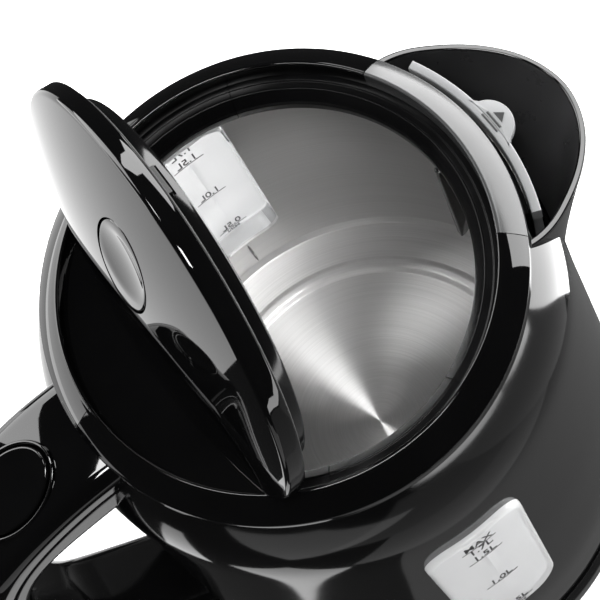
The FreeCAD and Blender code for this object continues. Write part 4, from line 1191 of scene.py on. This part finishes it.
piece(plate, "lid", SEMI, ["lid_inner_plate"], reshade=False)

# ---------------------------------------------------------------- power base
base_sec = fillet([(15.3, 18.0), (78.0, 18.0), (82.0, 16.2), (84.0, 12.5), (84.0, 2.0), (81.6, 2.0), (81.6, 12.0), (79.8, 14.6), (77.4, 15.6), (15.3, 15.6)],
                  [0.4, 4.0, 3.0, 3.0, 0.6, 0.2, 1.0, 1.0, 1.0, 0.2], 7)
base = lathe("base_top", base_sec, 320)
gl = prism("cut_gland", [(4.62 * math.cos(a), 9.4 + 4.62 * math.sin(a)) for a in np.linspace(0, 2 * math.pi, 48, endpoint=False)], -90.0, -70.0,
           lambda u, v, w: (w, u, v))
carve(base, [gl])
piece(base, "power_base", GLOSS, ["base_housing"], reshade=False)

# ---------------------------------------------------------------- finish of the carried-over pieces
FINISH = {
    "base_bottom_plate": SATIN, "base_connector": SATIN, "base_contact_ring": BRASS, "base_contact_pin": BRASS, "base_feet": RUBBER,
    "base_screws": BRIGHT, "cord_gland": RUBBER, "bottom_cover": SATIN, "bottom_screws": BRIGHT, "pot_clamp_ring": SATIN,
    "jug_connector": SATIN, "jug_contacts": BRASS, "thermostat_control": SATIN, "heat_spreader": ALU, "heating_element": BRIGHT,
    "pot_gasket": RUBBER, "steam_switch": SATIN, "bimetal_disc": BRASS, "switch_lever": SATIN, "window_seals": RUBBER,
    "hinge_pin": BRIGHT, "hinge_spring": BRIGHT, "rear_deck": GLOSS, "lid_seal": RUBBER, "lid_screws": BRIGHT,
    "lid_button_springs": BRIGHT, "lid_latch": SATIN, "filter_mesh": BRIGHT,
}
for n, o in NODES.items():
    if o.hide_render:
        continue
    mat = FINISH.get(n, SATIN)
    o.data.materials.clear()
    o.data.materials.append(mat)

# ---------------------------------------------------------------- floor, light, camera
def stage_plane(name, size, z, mat):
    me = bpy.data.meshes.new(name)
    me.from_pydata([(-size, -size, z), (size, -size, z), (size, size, z), (-size, size, z)], [], [(0, 1, 2, 3)])
    o = bpy.data.objects.new(name, me)
    SCENE.collection.objects.link(o)
    o.data.materials.append(mat)
    return o


fm, fnt, fb = new_mat("pale_floor")
fv = coords(fnt)
fnt.links.new(ramp(fnt, noise(fnt, fv, 3.0, 2.0), (0.86, 0.86, 0.86), (0.88, 0.88, 0.88)), fb.inputs["Base Color"])
fb.inputs["Roughness"].default_value = 0.8
fb.inputs["Specular IOR Level"].default_value = 0.1
fb.inputs["Emission Color"].default_value = (1, 1, 1, 1)
fb.inputs["Emission Strength"].default_value = 0.75
floor = stage_plane("floor", 6.0, -0.0002, fm)
floor.visible_glossy = False

world = bpy.data.worlds.new("studio")
SCENE.world = world
world.use_nodes = True
wn = world.node_tree
wn.nodes["Background"].inputs[0].default_value = (1, 1, 1, 1)
wn.nodes["Background"].inputs[1].default_value = 0.03


def softbox(name, at, aim, sx, sy, power, spread=180.0):
    li = bpy.data.lights.new(name, "AREA")
    li.shape = "RECTANGLE"
    li.size, li.size_y = sx, sy
    li.energy = power
    li.spread = math.radians(spread)
    o = bpy.data.objects.new(name, li)
    SCENE.collection.objects.link(o)
    o.location = at
    d = Vector(aim) - Vector(at)
    o.rotation_mode = "QUATERNION"
    o.rotation_quaternion = d.to_track_quat("-Z", "Y")
    o.visible_camera = False
    return o


def panel(name, az, el, dist, sx, sy, level):
    """Soft panel at a bearing and height angle from the jug's mouth; level is its brightness."""
    a, e = math.radians(az), math.radians(el)
    aim = Vector((0.0, 0.0, 0.21))
    at = aim + dist * Vector((math.cos(e) * math.cos(a), math.cos(e) * math.sin(a), math.sin(e)))
    return softbox(name, at, aim, sx, sy, level * math.pi * sx * sy)


CARDS = []


def card(name, x0, x1, y0, y1, level, turn=0.0):
    """Pale card lying on the table, lit evenly."""
    o = softbox(name, (0.5 * (x0 + x1), 0.5 * (y0 + y1), 0.0006 + 0.0002 * len(CARDS)), (0, 0, 1), x1 - x0, y1 - y0, level * math.pi * (x1 - x0) * (y1 - y0))
    o.rotation_mode = "XYZ"
    o.rotation_euler = (math.pi, 0.0, math.radians(turn))
    CARDS.append(o)
    return o


panel("right", 14.0, 2.0, 0.8, 1.06, 0.52, 7.5)
panel("high_right", 38.0, 43.5, 1.0, 0.66, 0.42, 9.5)
panel("high_left", 120.0, 32.0, 1.0, 0.70, 0.78, 6.3)
panel("low_left", 134.0, 0.5, 1.0, 0.92, 0.40, 3.0)
softbox("top", (-0.045, -0.27, 1.25), (0.0, 0.0, 0.05), 0.54, 0.18, 10.0)
softbox("top_second", (-0.23, 0.19, 1.21), (0.0, 0.0, 0.05), 0.16, 0.16, 1.6)
card("card_left", -1.90, -0.08, 0.06, 1.40, 1.55)
card("card_back", -0.08, -0.045, 0.10, 1.40, 1.4)
card("card_front_left", -0.645, -0.145, -0.713, -0.263, 0.63, 16.8)
card("card_front", -0.22, 0.16, -1.1, -0.30, 0.20)
card("card_front_right", 0.16, 0.66, -1.0, -0.06, 0.32)
card("card_middle", -0.10, 0.16, -0.30, -0.15, 0.25)
card("card_near", -0.05, 0.16, -0.15, 0.02, 0.13)
card("card_right", 0.176, 0.956, -0.276, 0.074, 7.0, -34.0)
card("card_far_right", 0.64, 1.30, -1.2, -0.46, 6.3)
card("card_far_front", 0.10, 1.00, -2.228, -1.028, 5.0, 33.0)
card("card_sliver", -0.38, -0.16, -0.064, -0.026, 1.6, 12.0)
card("card_handle", -0.17, -0.095, -0.14, -0.065, 1.1)

SCENE.view_settings.view_transform = "Standard"
SCENE.view_settings.look = "None"

CAM = dict(f=1722.2, el=68.08, roll=35.25, az=-2.0, dist=450.0, u=277.55, v=277.48)


def camera():
    a, e, r = (math.radians(CAM[k]) for k in ("az", "el", "roll"))
    back = Vector((math.sin(a) * math.cos(e), -math.cos(a) * math.cos(e), math.sin(e)))
    right = Vector((math.cos(a), math.sin(a), 0.0))
    up = back.cross(right)
    du = ((CAM["u"] - 300.0) * CAM["dist"] / CAM["f"], (CAM["v"] - 300.0) * CAM["dist"] / CAM["f"])
    o_r = du[0] * math.cos(r) - du[1] * math.sin(r)
    o_u = -du[0] * math.sin(r) - du[1] * math.cos(r)
    pos = Vector((0, 0, 209.0)) + back * CAM["dist"] - right * o_r - up * o_u
    cx = right * math.cos(r) - up * math.sin(r)
    cy = right * math.sin(r) + up * math.cos(r)
    cd = bpy.data.cameras.new("camera")
    cd.sensor_width = 36.0
    cd.lens = 36.0 * CAM["f"] / 600.0
    cd.clip_start, cd.clip_end = 0.01, 50.0
    co = bpy.data.objects.new("camera", cd)
    SCENE.collection.objects.link(co)
    m = Matrix((cx, cy, back)).transposed().to_4x4()
    m.translation = pos * MM
    co.matrix_world = m
    SCENE.camera = co


camera()
